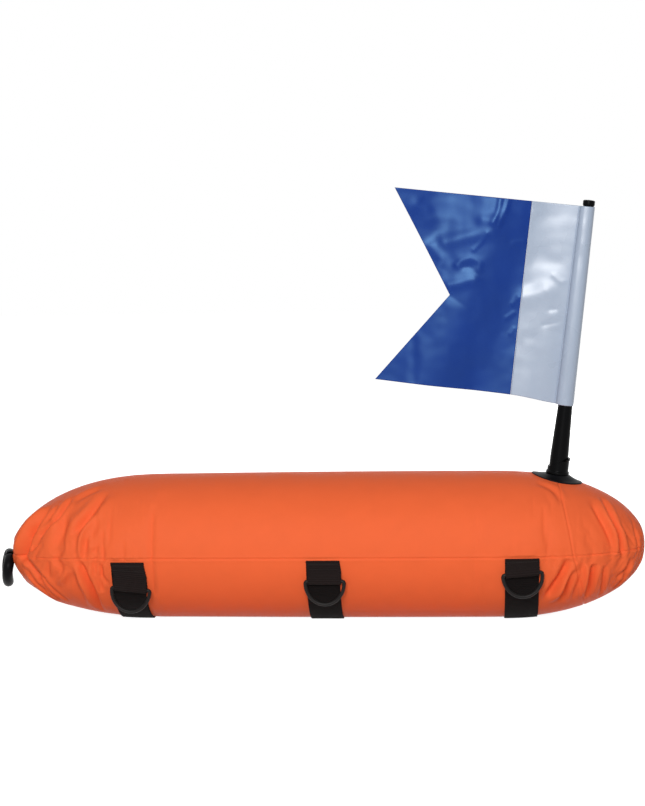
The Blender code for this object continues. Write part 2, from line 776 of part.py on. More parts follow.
def mast_radius(height):
    """Outer radius of the mast at a height up its axis."""
    if height < SOCKET_HEIGHT:
        return MAST_BASE_RADIUS
    if height < FLAG_BOTTOM:
        share = (height - SOCKET_HEIGHT) / (FLAG_BOTTOM - SOCKET_HEIGHT)
        return MAST_BASE_RADIUS + (MAST_FLAG_RADIUS - MAST_BASE_RADIUS) * share
    share = (height - FLAG_BOTTOM) / (MAST_TOP - FLAG_BOTTOM)
    return MAST_FLAG_RADIUS + (MAST_TOP_RADIUS - MAST_FLAG_RADIUS) * share


def make_mast():
    """Foot, socket, tapered tube, top cap and bottom plug."""
    add_part("mast_foot_flange", foot_mesh(), "black_rubber")
    place = mast_frame()

    base = FOOT_SEAT + GAP
    bore = MAST_BASE_RADIUS + GAP
    wall = bore + SOCKET_WALL
    lip_foot = SOCKET_HEIGHT - SOCKET_LIP_HEIGHT
    socket = turned("mast_socket", [
        (bore, SOCKET_HEIGHT),
        (wall, SOCKET_HEIGHT),
        (wall + SOCKET_LIP, SOCKET_HEIGHT - SOCKET_LIP),
        (wall + SOCKET_LIP, lip_foot),
        (wall, lip_foot - SOCKET_LIP),
        (wall, base + SOCKET_BASE_HEIGHT),
        (SOCKET_BASE_RADIUS, base + SOCKET_BASE_HEIGHT - SOCKET_LIP),
        (SOCKET_BASE_RADIUS, base),
        (0, base),
        (0, base + SOCKET_FLOOR),
        (bore, base + SOCKET_FLOOR),
        (bore, SOCKET_HEIGHT),
    ], "mast_plastic")
    socket.matrix_world = place
    drop = SOCKET_HEIGHT - SOCKET_LOW_SIDE
    slant = atan(drop / (2 * wall))
    size = (4 * wall, 4 * wall, drop)
    slice_mesh = block_mesh("socket_slice", size, (0, 0, drop / 2))
    slicer = add_cutter("socket_slice", slice_mesh)
    lift = Matrix.Translation((wall, 0, SOCKET_HEIGHT + GAP)) @ Matrix.Rotation(-slant, 4, "Y")
    slicer.matrix_world = place @ lift @ Matrix.Translation((-size[0] / 2, 0, 0))
    cut(socket, slicer)

    foot = base + SOCKET_FLOOR + GAP
    heights = [MAST_TOP, FLAG_BOTTOM, SOCKET_HEIGHT, foot]
    outside = [(mast_radius(height), height) for height in heights]
    inside = [(radius - MAST_WALL, height) for radius, height in reversed(outside)]
    tube = turned("mast_tube", outside + inside, "mast_plastic")
    tube.matrix_world = place

    spigot = MAST_TOP_RADIUS - MAST_WALL - GAP
    cap_foot = MAST_TOP + GAP
    cap = turned("mast_cap", [
        (0, cap_foot + CAP_HEIGHT - CAP_DOME / 2),
        (CAP_RADIUS - 2 * CAP_DOME, cap_foot + CAP_HEIGHT - CAP_DOME / 2),
        (CAP_RADIUS - CAP_DOME / 2, cap_foot + CAP_HEIGHT - CAP_DOME),
        (CAP_RADIUS, cap_foot + CAP_HEIGHT - 2 * CAP_DOME),
        (CAP_RADIUS, cap_foot),
        (spigot, cap_foot),
        (spigot, cap_foot - CAP_SPIGOT),
        (0, cap_foot - CAP_SPIGOT),
    ], "mast_plastic")
    cap.matrix_world = place

    bung = MAST_BASE_RADIUS - MAST_WALL - GAP
    plug = turned("mast_plug", [
        (0, foot + MAST_PLUG_LENGTH), (bung, foot + MAST_PLUG_LENGTH), (bung, foot), (0, foot),
    ], "black_rubber")
    plug.matrix_world = place


def flag_wave(fly, height):
    """How far the flag bends out of its plane, growing from the sleeve to the fly."""
    growth = min(1.0, max(0.0, (fly - SLEEVE_WELD_BOTTOM) / (FLAG_WHITE - SLEEVE_WELD_BOTTOM)))
    rise = (height - FLAG_BOTTOM) / FLAG_HOIST
    return FLAG_WAVE * growth * sin(2 * pi * (fly / FLAG_WAVE_LENGTH + rise / 2))


def flag_point(fly, across, height):
    """Flag point in the mast's frame: fly runs towards the bow, across towards the near side.

    The sheet's lower part is drawn up a little between the sleeve and the panels' joint.
    """
    out = min(1.0, max(0.0, fly / FLAG_WHITE))
    drawn = FLAG_RISE * out * out * (3 - 2 * out) + FLAG_TIP_RISE * max(0.0, fly) / FLAG_FLY
    below_top = (FLAG_BOTTOM + FLAG_HOIST - height) / FLAG_HOIST
    return Vector((-fly, -across, height + drawn * below_top))


def sleeve_weld(height):
    """Distance of the weld line from the mast's axis."""
    share = (height - FLAG_BOTTOM) / FLAG_HOIST
    return mast_radius(height) + SLEEVE_WELD_BOTTOM + (SLEEVE_WELD_TOP - SLEEVE_WELD_BOTTOM) * share


def white_line(height):
    """The white panel's line at a height: from its joint with the blue, round the mast and back."""
    round_radius = mast_radius(height) + SLEEVE_EASE + FLAG_SHEET / 2
    weld = sleeve_weld(height)
    back = FLAG_SHEET + GAP
    reach = asin(round_radius / weld)
    line = []
    for i in range(WHITE_STEPS):
        fly = FLAG_WHITE - (FLAG_WHITE - weld) * i / WHITE_STEPS
        line.append((fly, flag_wave(fly, height)))
    line.append((weld, flag_wave(weld, height)))
    for i in range(SLEEVE_TURN_STEPS + 1):
        turn = (pi / 2 - reach) + (pi + 2 * reach) * i / SLEEVE_TURN_STEPS
        line.append((round_radius * cos(turn), round_radius * sin(turn)))
    line.append((weld, flag_wave(weld, height) - back))
    line.append((weld + SLEEVE_LAP, flag_wave(weld + SLEEVE_LAP, height) - back))
    return line


def notch_height():
    """Height of the swallow tail's inner corner."""
    return FLAG_BOTTOM + FLAG_HOIST / 2 - FLAG_NOTCH_DROP


def fly_edge(height):
    """Distance of the fly's edge from the mast's axis."""
    corner = notch_height()
    arm = FLAG_BOTTOM + FLAG_HOIST - corner if height > corner else corner - FLAG_BOTTOM
    return FLAG_FLY - FLAG_NOTCH * (1 - abs(height - corner) / arm)


def flag_height(row):
    """Height of a row of the flag's mesh, with a row at the inner corner."""
    half = FLAG_ROWS // 2
    corner = notch_height()
    if row <= half:
        return FLAG_BOTTOM + (corner - FLAG_BOTTOM) * row / half
    return corner + (FLAG_BOTTOM + FLAG_HOIST - corner) * (row - half) / (FLAG_ROWS - half)


def make_flag():
    """The white panel with its sleeve, and the blue swallow-tailed panel."""
    count = len(white_line(FLAG_BOTTOM))

    def place_white(i, j):
        height = flag_height(j)
        fly, across = white_line(height)[i]
        return flag_point(fly, across, height)

    white_mesh = sheet_mesh("flag_white_panel", count - 1, FLAG_ROWS, place_white)
    white = add_part("flag_white_panel", white_mesh, "flag_white")
    solidify(white, FLAG_SHEET, 0)
    white.matrix_world = mast_frame()

    def place_blue(i, j):
        height = flag_height(j)
        start = FLAG_WHITE + GAP
        fly = start + (fly_edge(height) - start) * i / BLUE_STEPS
        return flag_point(fly, flag_wave(fly, height), height)

    blue = add_part("flag_blue_panel", sheet_mesh("flag_blue_panel", BLUE_STEPS, FLAG_ROWS, place_blue),
                    "flag_blue")
    solidify(blue, FLAG_SHEET, 0)
    blue.matrix_world = mast_frame()


# Zip

def zip_strip(name, finish, x_from, x_to, low, high, out_from, out_to, steps):
    """A strip along the far seam, between two heights above it and two distances out."""
    def place(i, j, face):
        x = x_from + (x_to - x_from) * i / steps
        above = low + (high - low) * j
        return body_point(x, pi - above / FLOAT_RADIUS, out_from + (out_to - out_from) * face)

    add_part(name, slab_mesh(name, steps, 1, place), finish)


def zip_face():
    """Place of the zip's outer face at its middle: X along the zip, Z outwards."""
    out = GAP + ZIP_TAPE_THICKNESS + GAP + ZIP_COIL_HEIGHT
    origin = body_point(ZIP_MIDDLE, pi, out)
    return origin, Vector((1, 0, 0)), Vector((0, 1, 0))


def slider_frame():
    """The closed zip's slider, near the bow end of the zip."""
    origin, along, outward = zip_face()
    start = -(ZIP_LENGTH / 2 - ZIP_STOP_LENGTH - SLIDER_LENGTH / 2 - GAP)
    return frame_matrix(origin + along * start, along, outward)


def make_zip():
    """Tapes, coils, end stops, slider and pull."""
    x_from, x_to = ZIP_MIDDLE - ZIP_LENGTH / 2, ZIP_MIDDLE + ZIP_LENGTH / 2
    tape = (GAP, GAP + ZIP_TAPE_THICKNESS)
    coil_seat = tape[1] + GAP
    coil = (coil_seat, coil_seat + ZIP_COIL_HEIGHT)
    edge = GAP / 2
    for name, sign in (("upper", 1), ("lower", -1)):
        zip_strip("zip_%s_tape" % name, "zip_nylon", x_from, x_to,
                  sign * edge, sign * (edge + ZIP_TAPE_WIDTH), *tape, ZIP_STEPS)
        zip_strip("zip_%s_coil" % name, "zip_nylon", x_from + ZIP_STOP_LENGTH + GAP,
                  x_to - ZIP_STOP_LENGTH - GAP, sign * edge, sign * (edge + ZIP_COIL_WIDTH),
                  *coil, ZIP_STEPS)
    for name, start in (("zip_bow_stop", x_from), ("zip_stern_stop", x_to - ZIP_STOP_LENGTH)):
        zip_strip(name, "zip_metal", start, start + ZIP_STOP_LENGTH, -ZIP_COIL_WIDTH, ZIP_COIL_WIDTH,
                  coil_seat, coil_seat + ZIP_STOP_HEIGHT, 1)

    place = slider_frame()
    skirt = ZIP_COIL_HEIGHT - SLIDER_CLEARANCE
    body_mesh = block_mesh("zip_slider", (SLIDER_LENGTH, SLIDER_WIDTH, SLIDER_PLATE + skirt),
                           (0, 0, SLIDER_CLEARANCE + (SLIDER_PLATE - skirt) / 2))
    slider = add_part("zip_slider", body_mesh, "zip_metal")
    slider.matrix_world = place
    bevel = slider.modifiers.new("edges", "BEVEL")
    bevel.width = SLIDER_BEVEL
    channel_width = 2 * (GAP + ZIP_COIL_WIDTH + SLIDER_CLEARANCE)
    channel_size = (SLIDER_LENGTH + 2 * CUT_OVERRUN, channel_width, skirt + CUT_OVERRUN)
    channel_centre = (0, 0, SLIDER_CLEARANCE - channel_size[2] / 2)
    channel = add_cutter("slider_channel", block_mesh("slider_channel", channel_size, channel_centre))
    channel.matrix_world = place
    cut(slider, channel)

    plate_top = SLIDER_CLEARANCE + SLIDER_PLATE
    bar_height = plate_top + BRIDGE_RISE
    bridge = add_cutter("slider_bridge", rod_mesh("slider_bridge", BRIDGE_RADIUS, BRIDGE_SPAN, "X",
                                                  (0, 0, bar_height), FINE_STEPS))
    bridge.matrix_world = place
    cut(slider, bridge, "UNION")
    for side in (-1, 1):
        post_size = (2 * BRIDGE_RADIUS, 2 * BRIDGE_RADIUS, BRIDGE_RISE + BRIDGE_RADIUS + SLIDER_BEVEL)
        post_centre = (side * BRIDGE_SPAN / 2, 0, plate_top - SLIDER_BEVEL + post_size[2] / 2)
        post = add_cutter("slider_post", block_mesh("slider_post", post_size, post_centre))
        post.matrix_world = place
        cut(slider, post, "UNION")

    pull_place = place @ Matrix.Translation((0, 0, bar_height))
    origin = pull_place.translation
    pull_hinge = frame_matrix(origin, Vector((1, 0, 0)), Vector((0, 0, 1)))
    eye_mesh = rod_mesh("zip_pull", PULL_EYE_RADIUS, PULL_EYE_LENGTH, "X", steps=ROUND_STEPS)
    pull = add_part("zip_pull", eye_mesh, "black_rubber")
    pull.matrix_world = pull_hinge
    tab_size = (PULL_WIDTH, PULL_THICKNESS, PULL_LENGTH - PULL_EYE_RADIUS)
    shank_size = (PULL_EYE_LENGTH, PULL_THICKNESS, 2 * PULL_EYE_RADIUS)
    shank = add_cutter("pull_shank", block_mesh("pull_shank", shank_size, (0, 0, -PULL_EYE_RADIUS)))
    tab_top = -2 * PULL_EYE_RADIUS
    tab = add_cutter("pull_tab", block_mesh("pull_tab", tab_size, (0, 0, tab_top - tab_size[2] / 2)))
    eye_hole = rod_mesh("pull_eye", BRIDGE_RADIUS + GAP, 2 * PULL_EYE_LENGTH, "X", steps=FINE_STEPS)
    eye = add_cutter("pull_eye", eye_hole)
    for cutter, operation in ((shank, "UNION"), (tab, "UNION"), (eye, "DIFFERENCE")):
        cutter.matrix_world = pull_hinge
        cut(pull, cutter, operation)


make_cover()
make_bladder()
make_straps()
make_tow_loop()
make_mast()
make_flag()
make_zip()
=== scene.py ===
"""Looks of the inflatable dive flag float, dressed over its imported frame.

Metres, +Z up, bow towards -X, zip side towards +Y. Each piece of the float has its own function, and
the body's surface is the one in the part's source: stations run along X from the float's middle, and
angles start at the near seam, with 90 degrees at the top, 180 at the far seam and -90 at the belly.
"""
from itertools import product
from math import cos, pi, radians, sin, tan

import bmesh
import bpy
import numpy as np
from mathutils import Matrix, Vector
from mathutils.bvhtree import BVHTree
from mathutils.geometry import delaunay_2d_cdt


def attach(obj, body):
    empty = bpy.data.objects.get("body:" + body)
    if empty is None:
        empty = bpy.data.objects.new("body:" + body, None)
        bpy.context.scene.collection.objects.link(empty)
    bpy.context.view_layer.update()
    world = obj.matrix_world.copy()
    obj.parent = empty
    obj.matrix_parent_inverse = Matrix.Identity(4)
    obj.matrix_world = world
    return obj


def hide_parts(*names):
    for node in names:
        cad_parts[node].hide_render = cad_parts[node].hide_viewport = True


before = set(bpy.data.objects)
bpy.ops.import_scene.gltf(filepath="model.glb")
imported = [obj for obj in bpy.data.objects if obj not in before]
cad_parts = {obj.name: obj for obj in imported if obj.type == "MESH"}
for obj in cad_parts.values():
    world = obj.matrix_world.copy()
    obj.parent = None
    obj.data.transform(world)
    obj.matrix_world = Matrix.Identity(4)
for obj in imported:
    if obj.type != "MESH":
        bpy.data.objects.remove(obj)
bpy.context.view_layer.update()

# Photograph's frame and the camera that sees it
PHOTO_SIZE = (645, 806)
FLOAT_PIXEL = (330, 544.3)
METRES_PER_PIXEL = 0.00155
CAMERA_DISTANCE = 2.69
CAMERA_YAW = radians(4.5)
CAMERA_ELEVATION = radians(11)
CAMERA_ROLL = radians(-1.1)
FLOAT_ASIDE = 0.0075
SENSOR = 36.0

# Inflated body
GAP = 0.0003
FLOAT_LENGTH = 0.975
FLOAT_RADIUS = 0.1125
END_LENGTH = 0.220
END_FULLNESS = 2.2
BARREL_DROP_SHARE = 0.03
WIDEST_PLACE = 0.080
BELLY_SAG = 0.004
BELLY_SOFTNESS = 0.0006
NOSE_DROOP = 0.008
SLOPE_STEP = 0.0005
TAIL_SEAM_FROM_TIP = 0.1115
TAIL_SEAM_LEAN = radians(11.3)

# Cover's mesh and the sewn seams in it
HALF_COLUMNS = 118
SEAM_CROWDING = 0.68
BOW_ROWS = 132
BARREL_ROWS = 120
AFT_ROWS = 44
TAIL_ROWS = 80
ROW_CROWDING = 0.65
SEAM_DEPTH = 0.0010
SEAM_WIDTH = 0.0012
SEAM_LIP = 0.00025
SEAM_LIP_PLACE = 0.0030
SEAM_LIP_WIDTH = 0.0018
PUCKER_DEPTH = 0.0007
PUCKER_REACH = 0.012
PUCKER_START = 0.002
PUCKER_PITCH = 0.013
PUCKER_SHARES = (0.3, 1)
PUCKER_SEED = 11

# Folds of the cover: their valleys, and the shoulders beside them, in widths of the fold
FOLD_SCALE = 2.1
FOLD_STEPS = 48
FOLD_REACH = 5
FOLD_TAPER = 0.6
SHOULDER_SHARE = 0.45
SHOULDER_PLACE = 2.1
SHOULDER_WIDTH = 1.1
FAR_FOLD_SHIFT = (0.008, 5)
FAR_FOLD_DEPTHS = (0.6, 1.1)
FOLD_SEED = 5

# Where the cover stays smooth: at the tips, under the straps, and round the foot in shares of its size
TIP_EASE = 0.004
STRAP_MARGIN = 0.004
STRAP_EASE = 0.010
FOOT_MARGIN = 1.02
FOOT_EASE = 0.25

# Bladder: how far it lies below the cover's valleys, and the coarser mesh that it has
BLADDER_BELOW = 0.0014
BLADDER_ROUNDS = 3
BLADDER_REACH = 2
BLADDER_ROW_STEP = 5
BLADDER_COLUMN_STEP = 4

# Inflated cloth of the two ends: flat panels, sewn along their outline and blown up
CLOTH_START = 0.215
CLOTH_TAPER = 0.04
CLOTH_FULLNESS = 2.3
CLOTH_LINE_STEPS = 2001
CLOTH_SPACING = 0.0062
CLOTH_FIRST_ROW = 0.7
CLOTH_ROW_PITCH = 0.866
CLOTH_MARGIN = 0.55
CLOTH_APART = 0.001
CLOTH_JITTER = 0.0003
CLOTH_SEED = 3
CLOTH_OPENING = 14
CLOTH_FRAMES = 40
CLOTH_EVENING = 60
CLOTH_LIMIT = 0.0040
CLOTH_SIDE_LIMIT = 0.0025
CLOTH_BASE_FADE = 0.03
CLOTH_TIP_FADE = 0.006
CLOTH_STERN_SHARE = 0.40
CLOTH_SETTINGS = {
    "quality": 6, "mass": 0.002, "bending_model": "ANGULAR",
    "tension_stiffness": 80, "compression_stiffness": 80, "shear_stiffness": 80 / 3,
    "bending_stiffness": 0.05, "tension_damping": 5, "compression_damping": 5,
    "shear_damping": 5, "bending_damping": 0.05, "air_damping": 1, "use_pressure": True,
    "uniform_pressure_force": 1500, "vertex_group_mass": "base", "pin_stiffness": 50,
}

# Straps, keepers and rings
WEBBING_WIDTH = 0.050
WEBBING_THICKNESS = 0.0018
STRAP_SPACING_SHARE = 0.301
STRAP_MIDDLE = 0.005
STRAP_BELOW_SEAM = {"bow": 0.005, "middle": 0.0026, "stern": 0.0008}
RING_WIRE = 0.0054
RING_WIDTH = 0.063
RING_DROP = 0.0348
RING_CORNER = 0.0030
BAR_BELOW_SEAM = {"bow": 0.0442, "middle": 0.0317, "stern": 0.0212}
RING_SKEW = {"bow": radians(5.5), "stern": radians(-4)}
KEEPER_LEAN = {"bow": 0.0038, "middle": 0.0022}
RING_SLIP = 0.0003
FOLD_RISE = 0.012
FOLD_LEAD_SHARE = 1.15
SLIP_SHARE = 0.5
STRAP_STEPS = 200
KEEPER_STEPS = 24
KEEPER_BACK_STEPS = 40
RING_CORNER_STEPS = 8
RING_BOW_STEPS = 65
RING_BAR_STEPS = 14

# Tow loop
EYE_STAND_OUT = 0.0085
EYE_BELOW_NOSE = 0.0050
EYE_RADIUS = 0.0070
EYE_WIDTH = 0.019
EYE_PLAY = 0.0011
EYE_EDGE = 0.0012
EYE_EDGE_BEVEL = 0.3
EYE_SEAT = 0.0015
EYE_STEPS = 72
TAB_HEIGHT = 0.011
CORE_RADIUS = 0.0026
CORE_STEPS = 120
GRIP_RADIUS = 0.0081
GRIP_END = 0.0030
GRIP_END_SHRINK = 0.4
GRIP_STEPS = 161
GRIP_SIDES = 36
LOOP_HALF_WIDTH = 0.031
LOOP_DROP = 0.0435
LOOP_TURN = radians(15.1)
LOOP_SWAY = 0.0055
LOOP_SHOULDER_SHARE = 0.32
LOOP_SWAY_SHARE = 0.72
GRIP_START_SHARE = 0.15

# Mast, socket and foot
MAST_FROM_TIP = 0.1315
MAST_TILT = radians(6.8)
MAST_TOP = 0.4112
MAST_BASE_RADIUS = 0.0137
MAST_FLAG_RADIUS = 0.0110
MAST_TOP_RADIUS = 0.0083
MAST_WALL = 0.0016
CAP_RADIUS = 0.0089
CAP_HEIGHT = 0.0086
CAP_DOME = 0.0016
CAP_SPIGOT = 0.010
CAP_ROUNDING = 0.0012
MAST_LOW_STEPS = 12
MAST_HIGH_STEPS = 30
SOCKET_HEIGHT = 0.0305
SOCKET_LOW_SIDE = 0.0150
SOCKET_WALL = 0.0019
SOCKET_FLOOR = 0.0024
SOCKET_LIP = 0.0009
SOCKET_LIP_HEIGHT = 0.0040
SOCKET_BASE_RADIUS = 0.0175
SOCKET_BASE_HEIGHT = 0.0050
SOCKET_ROUNDING = 0.0011
SOCKET_CUT = (0.55, 0.225)
SOCKET_SHARP = radians(35)
FOOT_LENGTH = 0.076
FOOT_WIDTH = 0.064
FOOT_EDGE = 0.0014
FOOT_RIM_SHARE = 0.45
FOOT_SEAT = 0.0040
FOOT_HOLLOW = 2.6
FOOT_STEPS = 96
FOOT_RINGS = 22

# Flag
FLAG_BOTTOM = 0.110
FLAG_HOIST = 0.300
FLAG_FLY = 0.291
FLAG_WHITE = 0.084
FLAG_NOTCH = 0.0995
FLAG_NOTCH_DROP = 0.006
FLAG_RISE = 0.0065
FLAG_TIP_RISE = 0.0015
FLAG_SHEET = 0.0006
SLEEVE_EASE = 0.0006
SLEEVE_WELD_TOP = 0.0040
SLEEVE_WELD_BOTTOM = 0.0036
SLEEVE_LAP = 0.007
SLEEVE_SLACK = 2.8
WELD_DEPTH = 0.0004
WELD_WIDTH = 0.0006
WELD_OFFSET = 0.0012
MARK_SCALE = 0.72
MARK_MARGIN = 0.003
MARK_EASE = 0.010
MARK_STEPS = 17
FLAG_WAVE = 0.0045
FLAG_WAVE_LENGTH = 0.170
FLAG_ROWS = 200
WHITE_STEPS = 64
WHITE_CROWDING = 1.6
BLUE_STEPS = 130
SLEEVE_TURN_STEPS = 30
SLEEVE_SLACK_STEPS = 12
LAP_SHARES = (0.02, 0.5, 1)

# Zip
ZIP_LENGTH = 0.200
ZIP_TAPE_WIDTH = 0.011
ZIP_TAPE_THICKNESS = 0.0008
ZIP_COIL_WIDTH = 0.0024
ZIP_COIL_HEIGHT = 0.0018
ZIP_STOP_LENGTH = 0.004
ZIP_ROWS = 90
ZIP_SECTION_STEPS = (6, 4)
COIL_PITCH = 0.0016
COIL_TURN = 0.01

# Threads, each size as (length, height, thickness); the rows of stitches run down from a keeper's top
COIL_SIZE = (ZIP_COIL_WIDTH, ZIP_COIL_HEIGHT, 0.0009)
STITCH_SIZE = (0.0024, 0.0003, 0.0006)
STITCHES = 14
STITCH_INSET = 0.004
STITCH_ROWS = (0.004, 0.011)
THREAD_STEPS = 6
THREAD_SIDES = 6

# Lamps, as (name, place, aim, size, power, whether they glint on the float), and the light all round
LAMPS = [
    ("key", (0.0, -2.8, 1.3), (0, 0, 0.2), (1.2, 0.9), 64, True),
    ("back", (0.3, 2.8, 0.7), (0, 0, 0.2), (1.6, 1.0), 44, False),
]
WORLD_LEVEL = 0.20
FLOOR_GLOW = 0.92
FLOOR_GREY = 0.60
FLOOR_ROUGHNESS = 0.9
FLOOR_SIZE = 8
FLOOR_CELLS = 8
WHITE = (1, 1, 1, 1)

# Values worked out from those above
HALF_LENGTH = FLOAT_LENGTH / 2
LOOP_REACH = EYE_STAND_OUT + LOOP_SWAY + GRIP_RADIUS
FLOAT_MIDDLE = LOOP_REACH / 2
AXIS_HEIGHT = FLOAT_RADIUS - BELLY_SAG
STRAP_SEAT = GAP * 1.5
BELLY_LIFT = WEBBING_THICKNESS + STRAP_SEAT
SHOULDER = HALF_LENGTH - END_LENGTH
TAIL_SEAM_PLACE = HALF_LENGTH - TAIL_SEAM_FROM_TIP
MAST_PLACE = HALF_LENGTH - MAST_FROM_TIP
STRAP_SPACING = STRAP_SPACING_SHARE * FLOAT_LENGTH
STRAP_PLACES = {
    "bow": STRAP_MIDDLE - STRAP_SPACING,
    "middle": STRAP_MIDDLE,
    "stern": STRAP_MIDDLE + STRAP_SPACING,
}
KEEPER_BACK = STRAP_SEAT + WEBBING_THICKNESS + GAP + WEBBING_THICKNESS / 2
KEEPER_FRONT = KEEPER_BACK + WEBBING_THICKNESS + GAP
FOLD_RADIUS = RING_WIRE / 2 + GAP + WEBBING_THICKNESS / 2
BAR_STAND_OUT = KEEPER_BACK + FOLD_RADIUS
KEEPER_TOP = {where: STRAP_BELOW_SEAM[where] - BAR_BELOW_SEAM[where] for where in STRAP_PLACES}
FLAG_CORNER = FLAG_BOTTOM + FLAG_HOIST / 2 - FLAG_NOTCH_DROP
ZIP_MIDDLE = STRAP_MIDDLE + STRAP_SPACING / 2
NEAR, FAR = -1, 1
SIDE_NAMES = {NEAR: "near", FAR: "far"}

# Folds of the cover on the near side, as (depth, width, [(station, angle in degrees), ...]).
# A negative depth is a ridge.
FOLDS = {
    "nose_sweep": (0.0046, 0.0058, [(-0.468, -8), (-0.462, 4), (-0.457, 16), (-0.447, 33),
                                    (-0.436, 45), (-0.418, 62)]),
    "nose_ridge": (-0.0030, 0.0060, [(-0.476, -2), (-0.471, 16), (-0.461, 38), (-0.444, 56),
                                     (-0.428, 66)]),
    "bow_slash": (0.0032, 0.0036, [(-0.433, 25), (-0.411, 35), (-0.397, 45), (-0.383, 63)]),
    "bow_hollow": (0.0030, 0.0080, [(-0.409, 4), (-0.396, 18), (-0.389, 30), (-0.391, 42)]),
    "bow_long": (0.0034, 0.0060, [(-0.378, 18), (-0.357, 32), (-0.343, 43), (-0.328, 59)]),
    "bow_crest": (0.0016, 0.0050, [(-0.380, 55), (-0.360, 63), (-0.338, 68)]),
    "bow_short": (0.0014, 0.0040, [(-0.350, 1), (-0.339, 9), (-0.331, 18)]),
    "bow_rib": (-0.0022, 0.0035, [(-0.365, 1), (-0.363, 12), (-0.356, 24), (-0.341, 37)]),
    "chin_slash": (0.0046, 0.0042, [(-0.464, 0), (-0.448, -14), (-0.430, -30), (-0.405, -54)]),
    "chin_twin": (0.0026, 0.0034, [(-0.448, -4), (-0.428, -20), (-0.408, -38), (-0.392, -52)]),
    "jowl_slash": (0.0046, 0.0040, [(-0.366, -1), (-0.353, -18), (-0.344, -34), (-0.341, -60)]),
    "jowl_rib": (-0.0022, 0.0045, [(-0.372, -6), (-0.364, -20), (-0.357, -36), (-0.356, -55)]),
    "jowl_drop": (0.0014, 0.0035, [(-0.415, -2), (-0.416, -12), (-0.414, -22)]),
    "cheek_rib": (-0.0016, 0.0050, [(-0.402, -28), (-0.391, -18), (-0.380, -9)]),
    "bow_gather": (0.0016, 0.0032, [(-0.331, -1), (-0.328, -14), (-0.315, -25)]),
    "bow_gather_two": (0.0012, 0.0026, [(-0.343, -1), (-0.341, -14)]),
    "mast_fold": (0.0014, 0.0045, [(0.322, 68), (0.347, 60), (0.360, 46)]),
    "stern_slash": (0.0040, 0.0040, [(0.421, 68), (0.436, 37), (0.447, 13), (0.452, -6)]),
    "stern_rib": (-0.0028, 0.0048, [(0.412, 62), (0.424, 36), (0.435, 17), (0.441, -4)]),
    "stern_sweep": (0.0018, 0.0032, [(0.403, 52), (0.419, 34), (0.431, 16), (0.437, 0)]),
    "tip_pleat": (0.0024, 0.0030, [(0.466, 50), (0.472, 22), (0.475, -6)]),
    "tail_gather": (0.0038, 0.0052, [(0.369, -2), (0.356, -18), (0.337, -36)]),
    "tail_gather_rib": (-0.0024, 0.0048, [(0.362, -18), (0.352, -30), (0.340, -44)]),
    "tail_pleat": (0.0032, 0.0042, [(0.376, -12), (0.365, -28), (0.358, -46)]),
    "heel_pleat": (0.0038, 0.0042, [(0.407, -9), (0.401, -26), (0.396, -48)]),
    "heel_rib": (-0.0022, 0.0045, [(0.396, -8), (0.391, -24), (0.385, -44)]),
    "heel_pleat_two": (0.0020, 0.0032, [(0.422, -12), (0.420, -34), (0.416, -56)]),
    "tip_drop": (0.0026, 0.0042, [(0.464, -14), (0.455, -28), (0.440, -36)]),
    "tip_drop_two": (0.0020, 0.0036, [(0.461, -22), (0.450, -44), (0.436, -58)]),
}

